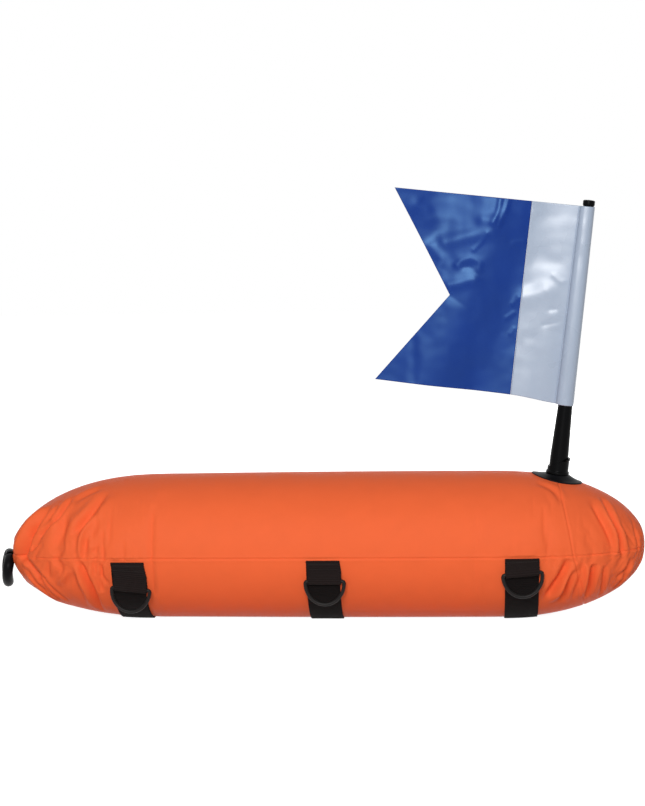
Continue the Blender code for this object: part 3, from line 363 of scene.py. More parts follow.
# Creases of the flag, as (depth, width, [(distance from the mast's axis, height up the mast), ...])
FLAG_MARKS = {
    "tip_swell": (-0.0032, 0.0130, [(0.254, 0.387), (0.244, 0.380), (0.236, 0.368)]),
    "top_swell": (-0.0024, 0.0120, [(0.126, 0.388), (0.132, 0.380)]),
    "top_ridge": (-0.0016, 0.0045, [(0.131, 0.412), (0.133, 0.390), (0.138, 0.371)]),
    "top_ridge_two": (-0.0014, 0.0040, [(0.119, 0.412), (0.123, 0.390), (0.130, 0.368)]),
    "shoulder": (-0.0022, 0.0095, [(0.153, 0.373), (0.143, 0.374)]),
    "long_swell": (-0.0030, 0.0125, [(0.142, 0.358), (0.175, 0.346), (0.207, 0.333)]),
    "streak": (-0.0008, 0.0036, [(0.146, 0.354), (0.153, 0.340), (0.163, 0.327)]),
    "edge_swell": (-0.0022, 0.0100, [(0.226, 0.325), (0.211, 0.308), (0.214, 0.292)]),
    "brow": (-0.0013, 0.0056, [(0.185, 0.301), (0.178, 0.309), (0.165, 0.313), (0.153, 0.308),
                               (0.152, 0.298)]),
    "brow_dent": (0.0011, 0.0055, [(0.174, 0.299), (0.167, 0.300)]),
    "cheek": (-0.0020, 0.0085, [(0.194, 0.268), (0.175, 0.275), (0.158, 0.281)]),
    "notch_ray": (0.0003, 0.0040, [(0.190, 0.252), (0.165, 0.238), (0.142, 0.226)]),
    "low_valley": (0.0010, 0.0080, [(0.240, 0.178), (0.236, 0.150), (0.232, 0.116)]),
    "low_valley_two": (0.0010, 0.0110, [(0.148, 0.205), (0.145, 0.160), (0.142, 0.112)]),
    "joint_high": (-0.0010, 0.0050, [(0.104, 0.343), (0.090, 0.346)]),
    "joint_middle": (-0.0009, 0.0042, [(0.089, 0.261), (0.096, 0.250)]),
    "joint_low": (-0.0009, 0.0042, [(0.093, 0.236), (0.102, 0.228)]),
    "joint_end": (-0.0007, 0.0035, [(0.090, 0.212), (0.094, 0.204)]),
    "white_swell": (-0.0034, 0.0135, [(0.079, 0.262), (0.063, 0.268), (0.050, 0.276)]),
    "white_ridge": (-0.0008, 0.0044, [(0.039, 0.301), (0.029, 0.294), (0.020, 0.294)]),
    "white_top": (-0.0011, 0.0045, [(0.080, 0.393), (0.077, 0.392)]),
    "white_hollow": (0.0014, 0.0150, [(0.066, 0.322), (0.038, 0.322)]),
    "white_dent": (0.0007, 0.0046, [(0.039, 0.250), (0.032, 0.252)]),
    "white_line": (0.0005, 0.0040, [(0.046, 0.225), (0.034, 0.230), (0.023, 0.234)]),
    "white_drop": (0.0010, 0.0110, [(0.062, 0.200), (0.050, 0.165), (0.044, 0.120)]),
}


# The body's surface, for whole arrays of stations and angles

def radius_at(x):
    """Radius of the body at stations."""
    end = np.clip((HALF_LENGTH - np.abs(x)) / END_LENGTH, 0, 1)
    barrel = 1 - BARREL_DROP_SHARE * ((x - WIDEST_PLACE) / HALF_LENGTH) ** 2
    return FLOAT_RADIUS * barrel * np.sqrt(1 - (1 - end) ** END_FULLNESS)


def centre_at(x):
    """Height of the body's centre line at stations."""
    into_bow = np.maximum(0, (END_LENGTH - HALF_LENGTH - x) / END_LENGTH)
    return AXIS_HEIGHT - NOSE_DROOP * into_bow ** 2


def outward_at(x, angle):
    """Outward direction of the body's surface."""
    x, angle = np.broadcast_arrays(np.asarray(x, float), np.asarray(angle, float))
    ahead = np.clip(x + SLOPE_STEP / 2, -HALF_LENGTH, HALF_LENGTH)
    behind = np.clip(x - SLOPE_STEP / 2, -HALF_LENGTH, HALF_LENGTH)
    rise = (radius_at(ahead) - radius_at(behind)) / (ahead - behind)
    at_tip = HALF_LENGTH - np.abs(x) < SLOPE_STEP
    length = np.hypot(1, rise)
    along = np.where(at_tip, np.sign(x), -rise / length)
    outward = np.where(at_tip, 0, 1 / length)
    return np.stack([along, -outward * np.cos(angle), outward * np.sin(angle)], -1)


def skin(x, angle, out=0.0):
    """Points of the body's surface, a distance out from the cover's face."""
    x, angle = np.broadcast_arrays(np.asarray(x, float), np.asarray(angle, float))
    out = np.broadcast_to(out, x.shape)
    radius = radius_at(x)
    across, up = -radius * np.cos(angle), radius * np.sin(angle)
    point = np.stack([FLOAT_MIDDLE + x, across, centre_at(x) + up], -1)
    point = point + outward_at(x, angle) * out[..., None]
    lowest = BELLY_LIFT - out
    above = (point[..., 2] - lowest) / BELLY_SOFTNESS
    point[..., 2] = lowest + BELLY_SOFTNESS * np.logaddexp(0, above)
    return point


def seam_station(angle):
    """Where the leaning tail seam crosses angles."""
    x = TAIL_SEAM_PLACE + 0 * angle
    for _ in range(6):
        x = TAIL_SEAM_PLACE - tan(TAIL_SEAM_LEAN) * radius_at(x) * np.sin(angle)
    return x


def spot(x, angle, out=0.0):
    """One point of the body's surface."""
    return Vector(skin(x, angle, out).tolist())


def heading(x, angle):
    """Direction along the body at one point."""
    return (spot(x + SLOPE_STEP, angle) - spot(x - SLOPE_STEP, angle)).normalized()


# Helpers for lines and meshes

def bell(apart, width):
    """A smooth bump: 1 in the middle and next to nothing a few widths away."""
    return np.exp(-(apart / width) ** 2)


def running(steps):
    """Length run after each step, from 0."""
    return np.concatenate([[0], np.cumsum(steps)])


def new_object(name, data):
    """A mesh, a lamp or a camera as an object in the scene."""
    obj = bpy.data.objects.new(name, data)
    bpy.context.scene.collection.objects.link(obj)
    return obj


def facing_out(mesh, smooth_angle=radians(42)):
    """Weld a closed mesh, turn its faces outwards and smooth it."""
    bm = bmesh.new()
    bm.from_mesh(mesh)
    bmesh.ops.remove_doubles(bm, verts=bm.verts, dist=1e-6)
    bmesh.ops.recalc_face_normals(bm, faces=bm.faces)
    if bm.calc_volume(signed=True) < 0:
        bmesh.ops.reverse_faces(bm, faces=bm.faces)
    bm.to_mesh(mesh)
    bm.free()
    mesh.shade_smooth()
    mesh.set_sharp_from_angle(angle=smooth_angle)
    return mesh


def mesh_of(name, points, faces, chart=None):
    """A mesh from points and quads, with a place on the flat cloth for each corner of each quad."""
    mesh = bpy.data.meshes.new(name)
    mesh.from_pydata(np.asarray(points, float).reshape(-1, 3).tolist(), [], faces)
    if chart is not None:
        layer = mesh.uv_layers.new(name="cloth")
        layer.uv.foreach_set("vector", np.asarray(chart, np.float32).ravel())
    mesh.shade_smooth()
    return mesh


def grid_faces(rows, columns, wrap_columns=False, wrap_rows=False):
    """Quads between rows and columns of points that are numbered row by row."""
    r = np.arange(rows if wrap_rows else rows - 1)
    c = np.arange(columns if wrap_columns else columns - 1)
    r, c = [a.ravel() for a in np.meshgrid(r, c, indexing="ij")]
    r2, c2 = (r + 1) % rows, (c + 1) % columns
    return np.stack([r * columns + c, r * columns + c2, r2 * columns + c2, r2 * columns + c], 1)


def frame_matrix(origin, x_axis, z_axis):
    """A placing matrix from an origin and two square directions."""
    x_axis, z_axis = x_axis.normalized(), z_axis.normalized()
    y_axis = z_axis.cross(x_axis)
    return Matrix.Translation(origin) @ Matrix((x_axis, y_axis, z_axis)).transposed().to_4x4()


def turned_mesh(name, profile, steps=72):
    """A turned piece from its outline of (radius, height), closed round unless it meets the axis."""
    profile = np.asarray(profile, float)
    on_axis = bool((profile[:, 0] == 0).any())
    turn = np.arange(steps) * 2 * pi / steps
    height = np.broadcast_to(profile[:, None, 1], (len(profile), steps))
    points = np.stack([profile[:, :1] * np.cos(turn), profile[:, :1] * np.sin(turn), height], -1)
    faces = grid_faces(len(profile), steps, wrap_columns=True, wrap_rows=not on_axis)
    return facing_out(mesh_of(name, points, faces.tolist()))


def rounded(corners, radius, steps=4, least_room=2.2):
    """An outline with its corners rounded, each within its own share of the two sides."""
    corners = np.asarray(corners, float)
    line = [corners[0]]
    for before, corner, after in zip(corners[:-2], corners[1:-1], corners[2:]):
        to_before, to_after = before - corner, after - corner
        before_length, after_length = np.linalg.norm(to_before), np.linalg.norm(to_after)
        near = min(radius, before_length / least_room, after_length / least_room)
        start = corner + to_before / before_length * near
        end = corner + to_after / after_length * near
        for share in np.linspace(0, 1, steps + 1):
            line.append((1 - share) ** 2 * start + 2 * share * (1 - share) * corner + share ** 2 * end)
    line.append(corners[-1])
    return np.array(line)


def smooth_line(points, count):
    """Evenly numbered points on a smooth curve through the given ones."""
    points = np.asarray(points, float)
    knots = np.concatenate([2 * points[:1] - points[1:2], points, 2 * points[-1:] - points[-2:-1]])
    at = np.linspace(0, len(points) - 1, count)
    first = np.minimum(at.astype(int), len(points) - 2)
    t = (at - first)[:, None]
    a, b, c, d = (knots[first + k] for k in range(4))
    return 0.5 * (2 * b + (c - a) * t + (2 * a - 5 * b + 4 * c - d) * t ** 2
                  + (3 * b - a - 3 * c + d) * t ** 3)


def tube_mesh(name, line, radii, sides=24, closed=False):
    """A round tube along a line, with a radius at each point, closed at its ends or on itself."""
    line = np.asarray(line, float)
    radii = np.broadcast_to(radii, len(line))
    ahead, behind = np.roll(line, -1, 0), np.roll(line, 1, 0)
    if not closed:
        ahead[-1], behind[0] = line[-1], line[0]
    tangent = ahead - behind
    tangent /= np.linalg.norm(tangent, axis=1)[:, None]
    across = np.zeros_like(line)
    first = Vector(tangent[0]).orthogonal().normalized()
    for i, direction in enumerate(tangent):
        direction = Vector(direction)
        first = (first - direction * first.dot(direction)).normalized()
        across[i] = first
    other = np.cross(tangent, across)
    turn = np.arange(sides) * 2 * pi / sides
    ring = across[:, None] * np.cos(turn)[:, None] + other[:, None] * np.sin(turn)[:, None]
    points = line[:, None] + ring * radii[:, None, None]
    faces = grid_faces(len(line), sides, wrap_columns=True, wrap_rows=closed).tolist()
    if not closed:
        last = (len(line) - 1) * sides
        faces += [list(range(sides))[::-1], list(range(last, last + sides))]
    return facing_out(mesh_of(name, points, faces))


def band_section(width, thickness, steps=16, edge_steps=6):
    """Cross-section of a woven band with rounded selvedges, as a closed loop of (across, out)."""
    edge = thickness / 2
    flat = np.linspace(-width / 2 + edge, width / 2 - edge, steps + 1)
    turn = np.linspace(-pi / 2, pi / 2, edge_steps + 1)[1:-1]
    right = np.stack([width / 2 - edge + edge * np.cos(turn), edge * np.sin(turn)], 1)
    below = np.stack([flat, 0 * flat - edge], 1)
    above = np.stack([flat[::-1], 0 * flat + edge], 1)
    return np.concatenate([below, right, above, -right, below[:1]])


def band_mesh(name, points, length, across):
    """A closed band from rows of cross-sections, with its weave laid by length and width."""
    rows, columns = points.shape[:2]
    quads = grid_faces(rows, columns)
    chart = np.stack([np.repeat(length, columns), np.tile(across, rows)], 1)
    faces = quads.tolist() + [list(range(columns - 1))[::-1],
                              [(rows - 1) * columns + i for i in range(columns - 1)]]
    corners = np.concatenate([quads.ravel(), faces[-2], faces[-1]]).astype(int)
    return facing_out(mesh_of(name, points, faces, chart[corners]))


# Finishes

def fill(node, values):
    """Set a node's inputs: another node's output is linked, and anything else is set as it is."""
    for socket, value in values:
        if isinstance(value, bpy.types.NodeSocket):
            node.id_data.links.new(value, node.inputs[socket])
        else:
            node.inputs[socket].default_value = value
    return node


def adder(tree):
    """A helper that adds a node to a tree, with its settings and its inputs."""
    def add(kind, values=(), **settings):
        node = tree.nodes.new(kind)
        for key, value in settings.items():
            setattr(node, key, value)
        return fill(node, values)

    return add


def reckoned(add, operation, *values):
    """Result of one operation on numbers or on other nodes' outputs."""
    return add("ShaderNodeMath", enumerate(values), operation=operation).outputs[0]


def material_nodes(name):
    """A new material, its shader and a helper that adds nodes."""
    material = bpy.data.materials.new(name)
    material.use_nodes = True
    return material, material.node_tree.nodes["Principled BSDF"], adder(material.node_tree)


def weave(add, pitches):
    """Over-and-under bulges of a plain weave on the cloth's flat chart, or ribs for a pitch of 0."""
    chart = add("ShaderNodeUVMap", uv_map="cloth").outputs["UV"]
    parts = add("ShaderNodeSeparateXYZ", [("Vector", chart)])
    waves = [reckoned(add, "SINE", reckoned(add, "MULTIPLY", parts.outputs[axis], 2 * pi / pitch))
             for axis, pitch in zip("XY", pitches) if pitch]
    return reckoned(add, "MULTIPLY", *waves) if len(waves) > 1 else waves[0]


def grain(add, place, size, detail):
    """Soft uneven relief of one size."""
    noise = add("ShaderNodeTexNoise", [("Vector", place), ("Scale", 1 / size), ("Detail", detail)])
    return noise.outputs["Fac"]


# Kinds of finish, as (size of the patches, how far their roughness wanders, detail of the grain)
KINDS = {"woven": (0.035, 0.04, None), "moulded": (0.02, 0.03, 2.0), "film": (0.06, 0.05, 1.0)}
PATCH_DETAIL = 3.0
PATCH_LOW, PATCH_HIGH = 0.3, 0.7

# Finishes, as (kind, colour, its spread, roughness, pitches of the weave or size of the grain, its
# depth, specular level, and what else differs from the shader's own values)
LOOKS = {
    "orange_fabric": ("woven", (0.93, 0.150, 0.047), 0.04, 0.40, (0.0009, 0.0009), 0.00004, 0.04, {}),
    "bladder_vinyl": ("moulded", (0.75, 0.72, 0.66), 0.08, 0.35, 0.004, 0.0001, 0.5, {}),
    "black_webbing": ("woven", (0.0155, 0.0105, 0.0100), 0.06, 0.72, (0.0030, 0), 0.00045, 0.06, {}),
    # Belly webbing: the black webbing's colour darkened, as painted shade for the strap under the belly
    "belly_webbing_painted_shade": ("woven", (0.0085, 0.0066, 0.0064), 0.06, 0.74, (0.0030, 0), 0.00040, 0.04, {}),
    "stitch_thread": ("moulded", (0.021, 0.017, 0.016), 0.08, 0.60, 0.0006, 0.00002, 0.18, {}),
    "ring_plastic": ("moulded", (0.012, 0.0105, 0.0100), 0.08, 0.40, 0.0012, 0.00003, 0.12, {}),
    "black_rubber": ("moulded", (0.0040, 0.0040, 0.0050), 0.08, 0.38, 0.0015, 0.00004, 0.055, {}),
    "mast_plastic": ("moulded", (0.0022, 0.0022, 0.0026), 0.08, 0.28, 0.0020, 0.00002, 0.05, {}),
    "flag_white": ("film", (0.365, 0.435, 0.550), 0.04, 0.29, 1 / 26, 0.0014, 0.65, {}),
    "flag_blue": ("film", (0.002, 0.020, 0.200), 0.12, 0.36, 1 / 26, 0.0022, 0.50,
                  {"Specular Tint": (0.32, 0.66, 1.0, 1.0)}),
    "zip_nylon": ("woven", (0.020, 0.020, 0.022), 0.06, 0.55, (0.0012, 0.0012), 0.00008, 0.5, {}),
    "zip_teeth": ("moulded", (0.018, 0.018, 0.020), 0.08, 0.38, 0.0006, 0.00001, 0.35, {}),
    "zip_metal": ("moulded", (0.45, 0.45, 0.46), 0.08, 0.35, 0.0010, 0.00002, 0.5, {"Metallic": 1.0}),
}


def made_finish(name, kind, colour, spread, roughness, size, depth, specular, others):
    """A finish whose colour and roughness wander from patch to patch, under a fine relief."""
    patch, wander, detail = KINDS[kind]
    material, shader, add = material_nodes(name)
    place = add("ShaderNodeTexCoord").outputs["Object"]
    patches = grain(add, place, patch, PATCH_DETAIL)
    low, high = ([min(1.0, c * share) for c in colour] + [1.0] for share in (1 - spread, 1 + spread))
    mix = add("ShaderNodeMix", [("Factor", patches), (6, low), (7, high)], data_type="RGBA")
    span = add("ShaderNodeMapRange", [("Value", patches), ("From Min", PATCH_LOW), ("From Max", PATCH_HIGH),
                                      ("To Min", roughness - wander), ("To Max", roughness + wander)])
    relief = weave(add, size) if kind == "woven" else grain(add, place, size, detail)
    bump = add("ShaderNodeBump", [("Height", relief), ("Distance", depth), ("Strength", 1.0)])
    fill(shader, [("Base Color", mix.outputs[2]), ("Roughness", span.outputs["Result"]),
                  ("Normal", bump.outputs["Normal"]), ("Specular IOR Level", specular), *others.items()])
    return material


FINISHES = {name: made_finish(name, *look) for name, look in LOOKS.items()}


def dress(obj, body, finish, *nodes):
    """Finish a piece, let it ride on its body and stand for the nodes that it replaces."""
    if obj.data.materials:
        obj.data.materials[0] = FINISHES[finish]
    else:
        obj.data.materials.append(FINISHES[finish])
    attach(obj, body)
    if nodes:
        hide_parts(*nodes)
    return obj


def piece(mesh, body, finish, *nodes, place=None):
    """A mesh, put in its place, as a dressed piece of the same name."""
    if place is not None:
        mesh.transform(place)
    return dress(new_object(mesh.name, mesh), body, finish, *nodes)


# Cover and bladder

def cover_chart():
    """Stations and angles of the cover's mesh: rows from nose to stern tip, columns once round."""
    share = np.linspace(0, 1, HALF_COLUMNS + 1)
    half = pi * (share - SEAM_CROWDING * np.sin(2 * pi * share) / (2 * pi))
    angle = np.concatenate([half - pi, half[1:]])
    seam = seam_station(angle)
    bow = -HALF_LENGTH + END_LENGTH * (1 - np.cos(pi / 2 * np.arange(BOW_ROWS) / BOW_ROWS))
    barrel = np.linspace(-SHOULDER, SHOULDER, BARREL_ROWS, endpoint=False)
    front = np.concatenate([bow, barrel])[:, None] + 0 * angle
    share = np.arange(AFT_ROWS)[:, None] / AFT_ROWS
    aft = SHOULDER + (seam - SHOULDER) * ((1 + ROW_CROWDING) * share - ROW_CROWDING * share ** 2)
    share = np.arange(TAIL_ROWS + 1)[:, None] / TAIL_ROWS
    share = (1 - ROW_CROWDING) * share + ROW_CROWDING * share ** 2
    turn = np.arcsin((seam - SHOULDER) / END_LENGTH)
    tail = SHOULDER + END_LENGTH * np.sin(turn + (pi / 2 - turn) * share)
    x = np.concatenate([front, aft, tail])
    return x, np.broadcast_to(angle, x.shape)


def fold_line(name, side, random):
    """A fold's middle line as points; the far side's folds are mirrored, moved and weakened a little."""
    depth, width, marks = FOLDS[name]
    marks = smooth_line(marks, FOLD_STEPS)
    if side == FAR:
        marks = marks + random.uniform(-1, 1, 2) * FAR_FOLD_SHIFT
        depth = depth * random.uniform(*FAR_FOLD_DEPTHS)
    line = skin(marks[:, 0], np.radians(marks[:, 1]))
    line[:, 1] *= -side
    return depth, width, line


def fold_relief(points):
    """Height of the folds over the cover's surface."""
    random = np.random.default_rng(FOLD_SEED)
    out = np.zeros(points.shape[:2])
    for side in (NEAR, FAR):
        for name in FOLDS:
            depth, width, line = fold_line(name, side, random)
            low, high = line.min(0) - FOLD_REACH * width, line.max(0) + FOLD_REACH * width
            inside = ((points > low) & (points < high)).all(-1)
            at = points[inside]
            away = at[:, None] - line
            nearest = (away ** 2).sum(-1).argmin(1)
            away = away[np.arange(len(at)), nearest]
            step = np.gradient(line, axis=0)
            pace = np.linalg.norm(step, axis=1)
            tangent = (step / pace[:, None])[nearest]
            on = (away * tangent).sum(1)
            middle = (nearest > 0) & (nearest < len(line) - 1)
            apart = np.sqrt(np.maximum((away ** 2).sum(1) - np.where(middle, on, 0) ** 2, 0))
            share = np.clip((nearest + on / pace[nearest]) / (len(line) - 1), 0, 1)
            fade = np.sin(pi * share) ** FOLD_TAPER
            shoulders = SHOULDER_SHARE * bell(apart - SHOULDER_PLACE * width, SHOULDER_WIDTH * width)
            out[inside] += FOLD_SCALE * depth * fade * (shoulders - bell(apart, width))
    return out


def end_outline(sign):
    """One end from base to tip: length run, station, radius and the flat panel's half width."""
    share = np.linspace(0, 1, CLOTH_LINE_STEPS)
    x = sign * (HALF_LENGTH - (HALF_LENGTH - CLOTH_START) * (1 - np.sin(share * pi / 2)))
    radius = radius_at(x)
    run = running(np.hypot(np.diff(x), np.diff(radius)))
    along = np.clip((run - CLOTH_TAPER) / (run[-1] - CLOTH_TAPER), 0, 1)
    return run, x, radius, pi / 2 * radius[0] * np.sqrt(1 - along ** CLOTH_FULLNESS)


def flat_panel(run, half):
    """Points and triangles of one flat panel; the points of its outline come first."""
    edge_run = running(np.hypot(np.diff(run), np.diff(half)))
    steps = np.linspace(0, edge_run[-1], int(edge_run[-1] / CLOTH_SPACING) + 1)
    edge = np.stack([np.interp(steps, edge_run, run), np.interp(steps, edge_run, half)], 1)
    edge = np.concatenate([edge, edge[-2::-1] * (1, -1)])
    base = np.arange(-half[0] + CLOTH_SPACING, half[0] - CLOTH_SPACING / 2, CLOTH_SPACING)
    points = edge.tolist() + [(0.0, y) for y in base]
    loop = [(i, (i + 1) % len(points)) for i in range(len(points))]
    rows = np.arange(CLOTH_FIRST_ROW * CLOTH_SPACING, run[-1], CLOTH_ROW_PITCH * CLOTH_SPACING)
    for row, s in enumerate(rows):
        reach = np.interp(s, run, half) - CLOTH_MARGIN * CLOTH_SPACING
        count = int(max(reach, 0) / CLOTH_SPACING) + 1
        across = (np.arange(-count, count + 1) + row % 2 / 2) * CLOTH_SPACING
        points += [(s, y) for y in across if abs(y) <= reach]
    flat, _, faces = delaunay_2d_cdt([Vector(point) for point in points], loop, [], 1, 1e-6)[:3]
    return np.array([tuple(point) for point in flat]), [tuple(face) for face in faces], len(edge)


def blown_up(flat, opened, faces, pinned):
    """Cloth simulation: the flat panels' base is drawn open to its ring while air fills them."""
    mesh = bpy.data.meshes.new("blown_end")
    mesh.from_pydata(flat.tolist(), [], faces)
    obj = new_object("blown_end", mesh)
    obj.shape_key_add(name="Basis")
    ring = obj.shape_key_add(name="ring")
    ring.data.foreach_set("co", opened.astype(np.float32).ravel())
    ring.value = 0
    ring.keyframe_insert("value", frame=1)
    ring.value = 1
    ring.keyframe_insert("value", frame=CLOTH_OPENING)
    obj.vertex_groups.new(name="base").add(pinned, 1.0, "REPLACE")
    cloth = obj.modifiers.new("cloth", "CLOTH")
    for key, value in CLOTH_SETTINGS.items():
        setattr(cloth.settings, key, value)
    cloth.settings.effector_weights.gravity = 0
    cloth.collision_settings.use_collision = False
    cloth.point_cache.frame_start, cloth.point_cache.frame_end = 1, CLOTH_FRAMES
    for step in range(1, CLOTH_FRAMES + 1):
        bpy.context.scene.frame_set(step)
    blown = bpy.data.meshes.new_from_object(obj.evaluated_get(bpy.context.evaluated_depsgraph_get()))
    out = np.zeros(3 * len(blown.vertices), np.float32)
    blown.vertices.foreach_get("co", out)
    bpy.data.objects.remove(obj)
    bpy.data.meshes.remove(blown)
    bpy.data.meshes.remove(mesh)
    return out.reshape(-1, 3)


def smoothed(values, faces, rounds):
    """Values evened out over a mesh's neighbours."""
    pairs = np.array([(face[i], face[i - 1]) for face in faces for i in range(3)])
    pairs = np.concatenate([pairs, pairs[:, ::-1]])
    count = np.bincount(pairs[:, 0], minlength=len(values))[:, None]
    for _ in range(rounds):
        total = np.zeros_like(values)
        np.add.at(total, pairs[:, 0], values[pairs[:, 1]])
        values = 0.5 * values + 0.5 * total / count
    return values


def end_wrinkles(sign, x, angle):
    """How the blown-up cloth of one end departs from the smooth body, at the cover's points."""
    run, station, radius, half = end_outline(sign)
    flat, faces, edge_count = flat_panel(run, half)
    count = len(flat)
    around = np.clip(flat[:, 1] / np.maximum(np.interp(flat[:, 0], run, half), 1e-6), -1, 1) * pi / 2
    at, r = np.interp(flat[:, 0], run, station), np.interp(flat[:, 0], run, radius)
    upper = np.stack([at, r * np.sin(around), r * np.cos(around)], 1)
    own = np.arange(edge_count, count)
    low = np.arange(count)
    low[own] = count + np.arange(len(own))
    body = np.concatenate([upper, upper[own] * (1, 1, -1)])
    lift = np.zeros(len(body))
    lift[own], lift[count:] = CLOTH_APART, -CLOTH_APART
    jitter = np.random.default_rng(CLOTH_SEED).normal(0, CLOTH_JITTER, len(body))
    plane = np.concatenate([flat, flat[own]])
    start = np.stack([sign * (CLOTH_START + plane[:, 0]), plane[:, 1],
                      lift + np.where(lift == 0, 0, jitter)], 1)
    pinned = np.flatnonzero(plane[:, 0] < 1e-5)
    opened = start.copy()
    opened[pinned] = body[pinned]
    both = faces + [tuple(reversed([int(low[i]) for i in face])) for face in faces]
    if sign < 0:
        both = [face[::-1] for face in both]
    moved = blown_up(start, opened, both, pinned.tolist()) - body
    detail = moved - smoothed(moved, both, CLOTH_EVENING)

    offset = np.zeros(x.shape + (3,))
    corners = np.array(faces)
    tree = BVHTree.FromPolygons([(a, b, 0.0) for a, b in flat], faces)
    for is_low in (False, True):
        chosen = (sign * x > CLOTH_START) & ((angle < 0) == is_low)
        turned = -angle[chosen] - pi / 2 if is_low else angle[chosen] - pi / 2
        s = np.interp(np.abs(x[chosen]), np.abs(station), run)
        y = np.interp(s, run, half) * np.clip(turned / (pi / 2), -1, 1)
        found = np.array([tree.find_nearest((a, b, 0.0))[2] for a, b in zip(s, y)])
        index = corners[found]
        p, q, w = (flat[index[:, k]] for k in range(3))
        place = np.stack([s, y], 1)
        area = np.cross(q - p, w - p)
        share_q = np.clip(np.cross(place - p, w - p) / area, 0, 1)
        share_w = np.clip(np.cross(q - p, place - p) / area, 0, 1)
        index = low[index] if is_low else index
        shares = (1 - share_q - share_w, share_q, share_w)
        offset[chosen] = sum(detail[index[:, k]] * share[:, None] for k, share in enumerate(shares))
    base_fade = np.clip((sign * x - CLOTH_START) / CLOTH_BASE_FADE, 0, 1)
    tip_fade = np.clip((HALF_LENGTH - sign * x) / CLOTH_TIP_FADE, 0, 1)
    return offset * (base_fade * tip_fade)[..., None]


def cloth_offset(x, angle):
    """Wrinkles of both blown-up ends, as a lift off the surface and a push along it."""
    offset = end_wrinkles(-1, x, angle) + CLOTH_STERN_SHARE * end_wrinkles(1, x, angle)
    outward = outward_at(x, angle)
    lift = (offset * outward).sum(-1)
    push = offset - outward * lift[..., None]
    size = np.maximum(np.linalg.norm(push, axis=-1), 1e-9)[..., None]
    push *= np.tanh(size / CLOTH_SIDE_LIMIT) * CLOTH_SIDE_LIMIT / size
    return np.tanh(lift / CLOTH_LIMIT) * CLOTH_LIMIT, push


def seam_relief(x, angle):
    """Height of the sewn side seams and of the leaning tail seam."""
    radius = radius_at(x)
    beside = np.minimum(np.abs(angle), pi - np.abs(angle)) * radius
    slope = np.gradient(radius, axis=0) / np.maximum(np.gradient(x, axis=0), 1e-9)
    seam = (x - seam_station(angle)) * cos(TAIL_SEAM_LEAN) * np.hypot(1, slope)
    out = 0
    for apart in (beside, np.abs(seam)):
        out = out - SEAM_DEPTH * bell(apart, SEAM_WIDTH)
        out = out + SEAM_LIP * bell(apart - SEAM_LIP_PLACE, SEAM_LIP_WIDTH)
    random = np.random.default_rng(PUCKER_SEED)
    knots = np.arange(-HALF_LENGTH, HALF_LENGTH + PUCKER_PITCH, PUCKER_PITCH / 2)
    reach = np.exp(-beside / PUCKER_REACH) * np.clip(beside / PUCKER_START, 0, 1)
    for quarter in range(-2, 2):
        tucks = random.uniform(-1, 1, len(knots)) * random.uniform(*PUCKER_SHARES, len(knots))
        tucks = PUCKER_DEPTH * np.interp(x, knots, tucks)
        inside = np.clip(np.floor(angle / (pi / 2)), -2, 1) == quarter
        out = out + np.where(inside, tucks * reach, 0)
    return out


def strap_mask(x, angle):
    """1 where the cover is free, and 0 where a strap or the mast's foot holds it down."""
    free = np.ones_like(x)
    for where, centre in STRAP_PLACES.items():
        top = (STRAP_MARGIN - STRAP_BELOW_SEAM[where]) / FLOAT_RADIUS
        below = (angle < top) | (angle > pi - top)
        apart = np.abs(x - centre) - WEBBING_WIDTH / 2
        free = np.where(below, np.minimum(free, np.clip(apart / STRAP_EASE, 0, 1)), free)
    across = FLOAT_RADIUS * (angle - pi / 2)
    reach = np.hypot((x - MAST_PLACE) / (FOOT_LENGTH / 2), across / (FOOT_WIDTH / 2))
    return np.minimum(free, np.clip((reach - FOOT_MARGIN) / FOOT_EASE, 0, 1))


def make_cover():
    """The sewn cover as one closed skin with its seams, folds and puckers, and the bladder under it."""
    x, angle = cover_chart()
    free = strap_mask(x, angle)
    tip = np.clip((HALF_LENGTH - np.abs(x)) / TIP_EASE, 0, 1)
    relief = (fold_relief(skin(x, angle)) * free + seam_relief(x, angle)) * tip
    push = np.zeros(x.shape + (3,))
    lift, push = cloth_offset(x, angle)
    relief += lift * free
    push *= free[..., None]
    points = skin(x, angle, relief) + push
    rows, columns = x.shape
    quads = grid_faces(rows, columns)
    steps = np.diff(skin(x, angle), axis=0, prepend=skin(x[:1], angle[:1]))
    arc = np.cumsum(np.linalg.norm(steps, axis=-1), axis=0)
    width = radius_at(x)
    upper = (np.arange(len(quads)) % (columns - 1)) >= HALF_COLUMNS
    ridge = np.where(upper, pi / 2, -pi / 2)[:, None]
    chart = np.stack([arc.ravel()[quads], width.ravel()[quads] * (angle.ravel()[quads] - ridge)], -1)
    mesh = facing_out(mesh_of("cover", points, quads.tolist(), chart), pi)
    cover = piece(mesh, "float", "orange_fabric", "cover_upper_panel", "cover_lower_panel",
                  "tail_upper_panel", "tail_lower_panel")

    under = relief.copy()
    for _ in range(BLADDER_ROUNDS):
        for axis in (0, 1):
            beside = [np.roll(under, shift, axis) for shift in (BLADDER_REACH, -BLADDER_REACH)]
            under = np.minimum(under, np.minimum(*beside))
    kept_rows = np.unique(np.r_[0:rows:BLADDER_ROW_STEP, rows - 1])
    cut = np.ix_(kept_rows, np.arange(0, columns, BLADDER_COLUMN_STEP))
    inner = skin(x[cut], angle[cut], under[cut] - BLADDER_BELOW)
    mesh = facing_out(mesh_of("bladder_skin", inner, grid_faces(*inner.shape[:2]).tolist()), pi)
    bladder = piece(mesh, "float", "bladder_vinyl", "bladder")


# Straps, keepers and rings

def bar_angle(where):
    """Angle of a ring's bar below the seam."""
    return -BAR_BELOW_SEAM[where] / FLOAT_RADIUS


def near_only(values, where, side):
    """A strap's skew or lean on the near side, and none on the far side."""
    return values.get(where, 0.0) if side == NEAR else 0.0


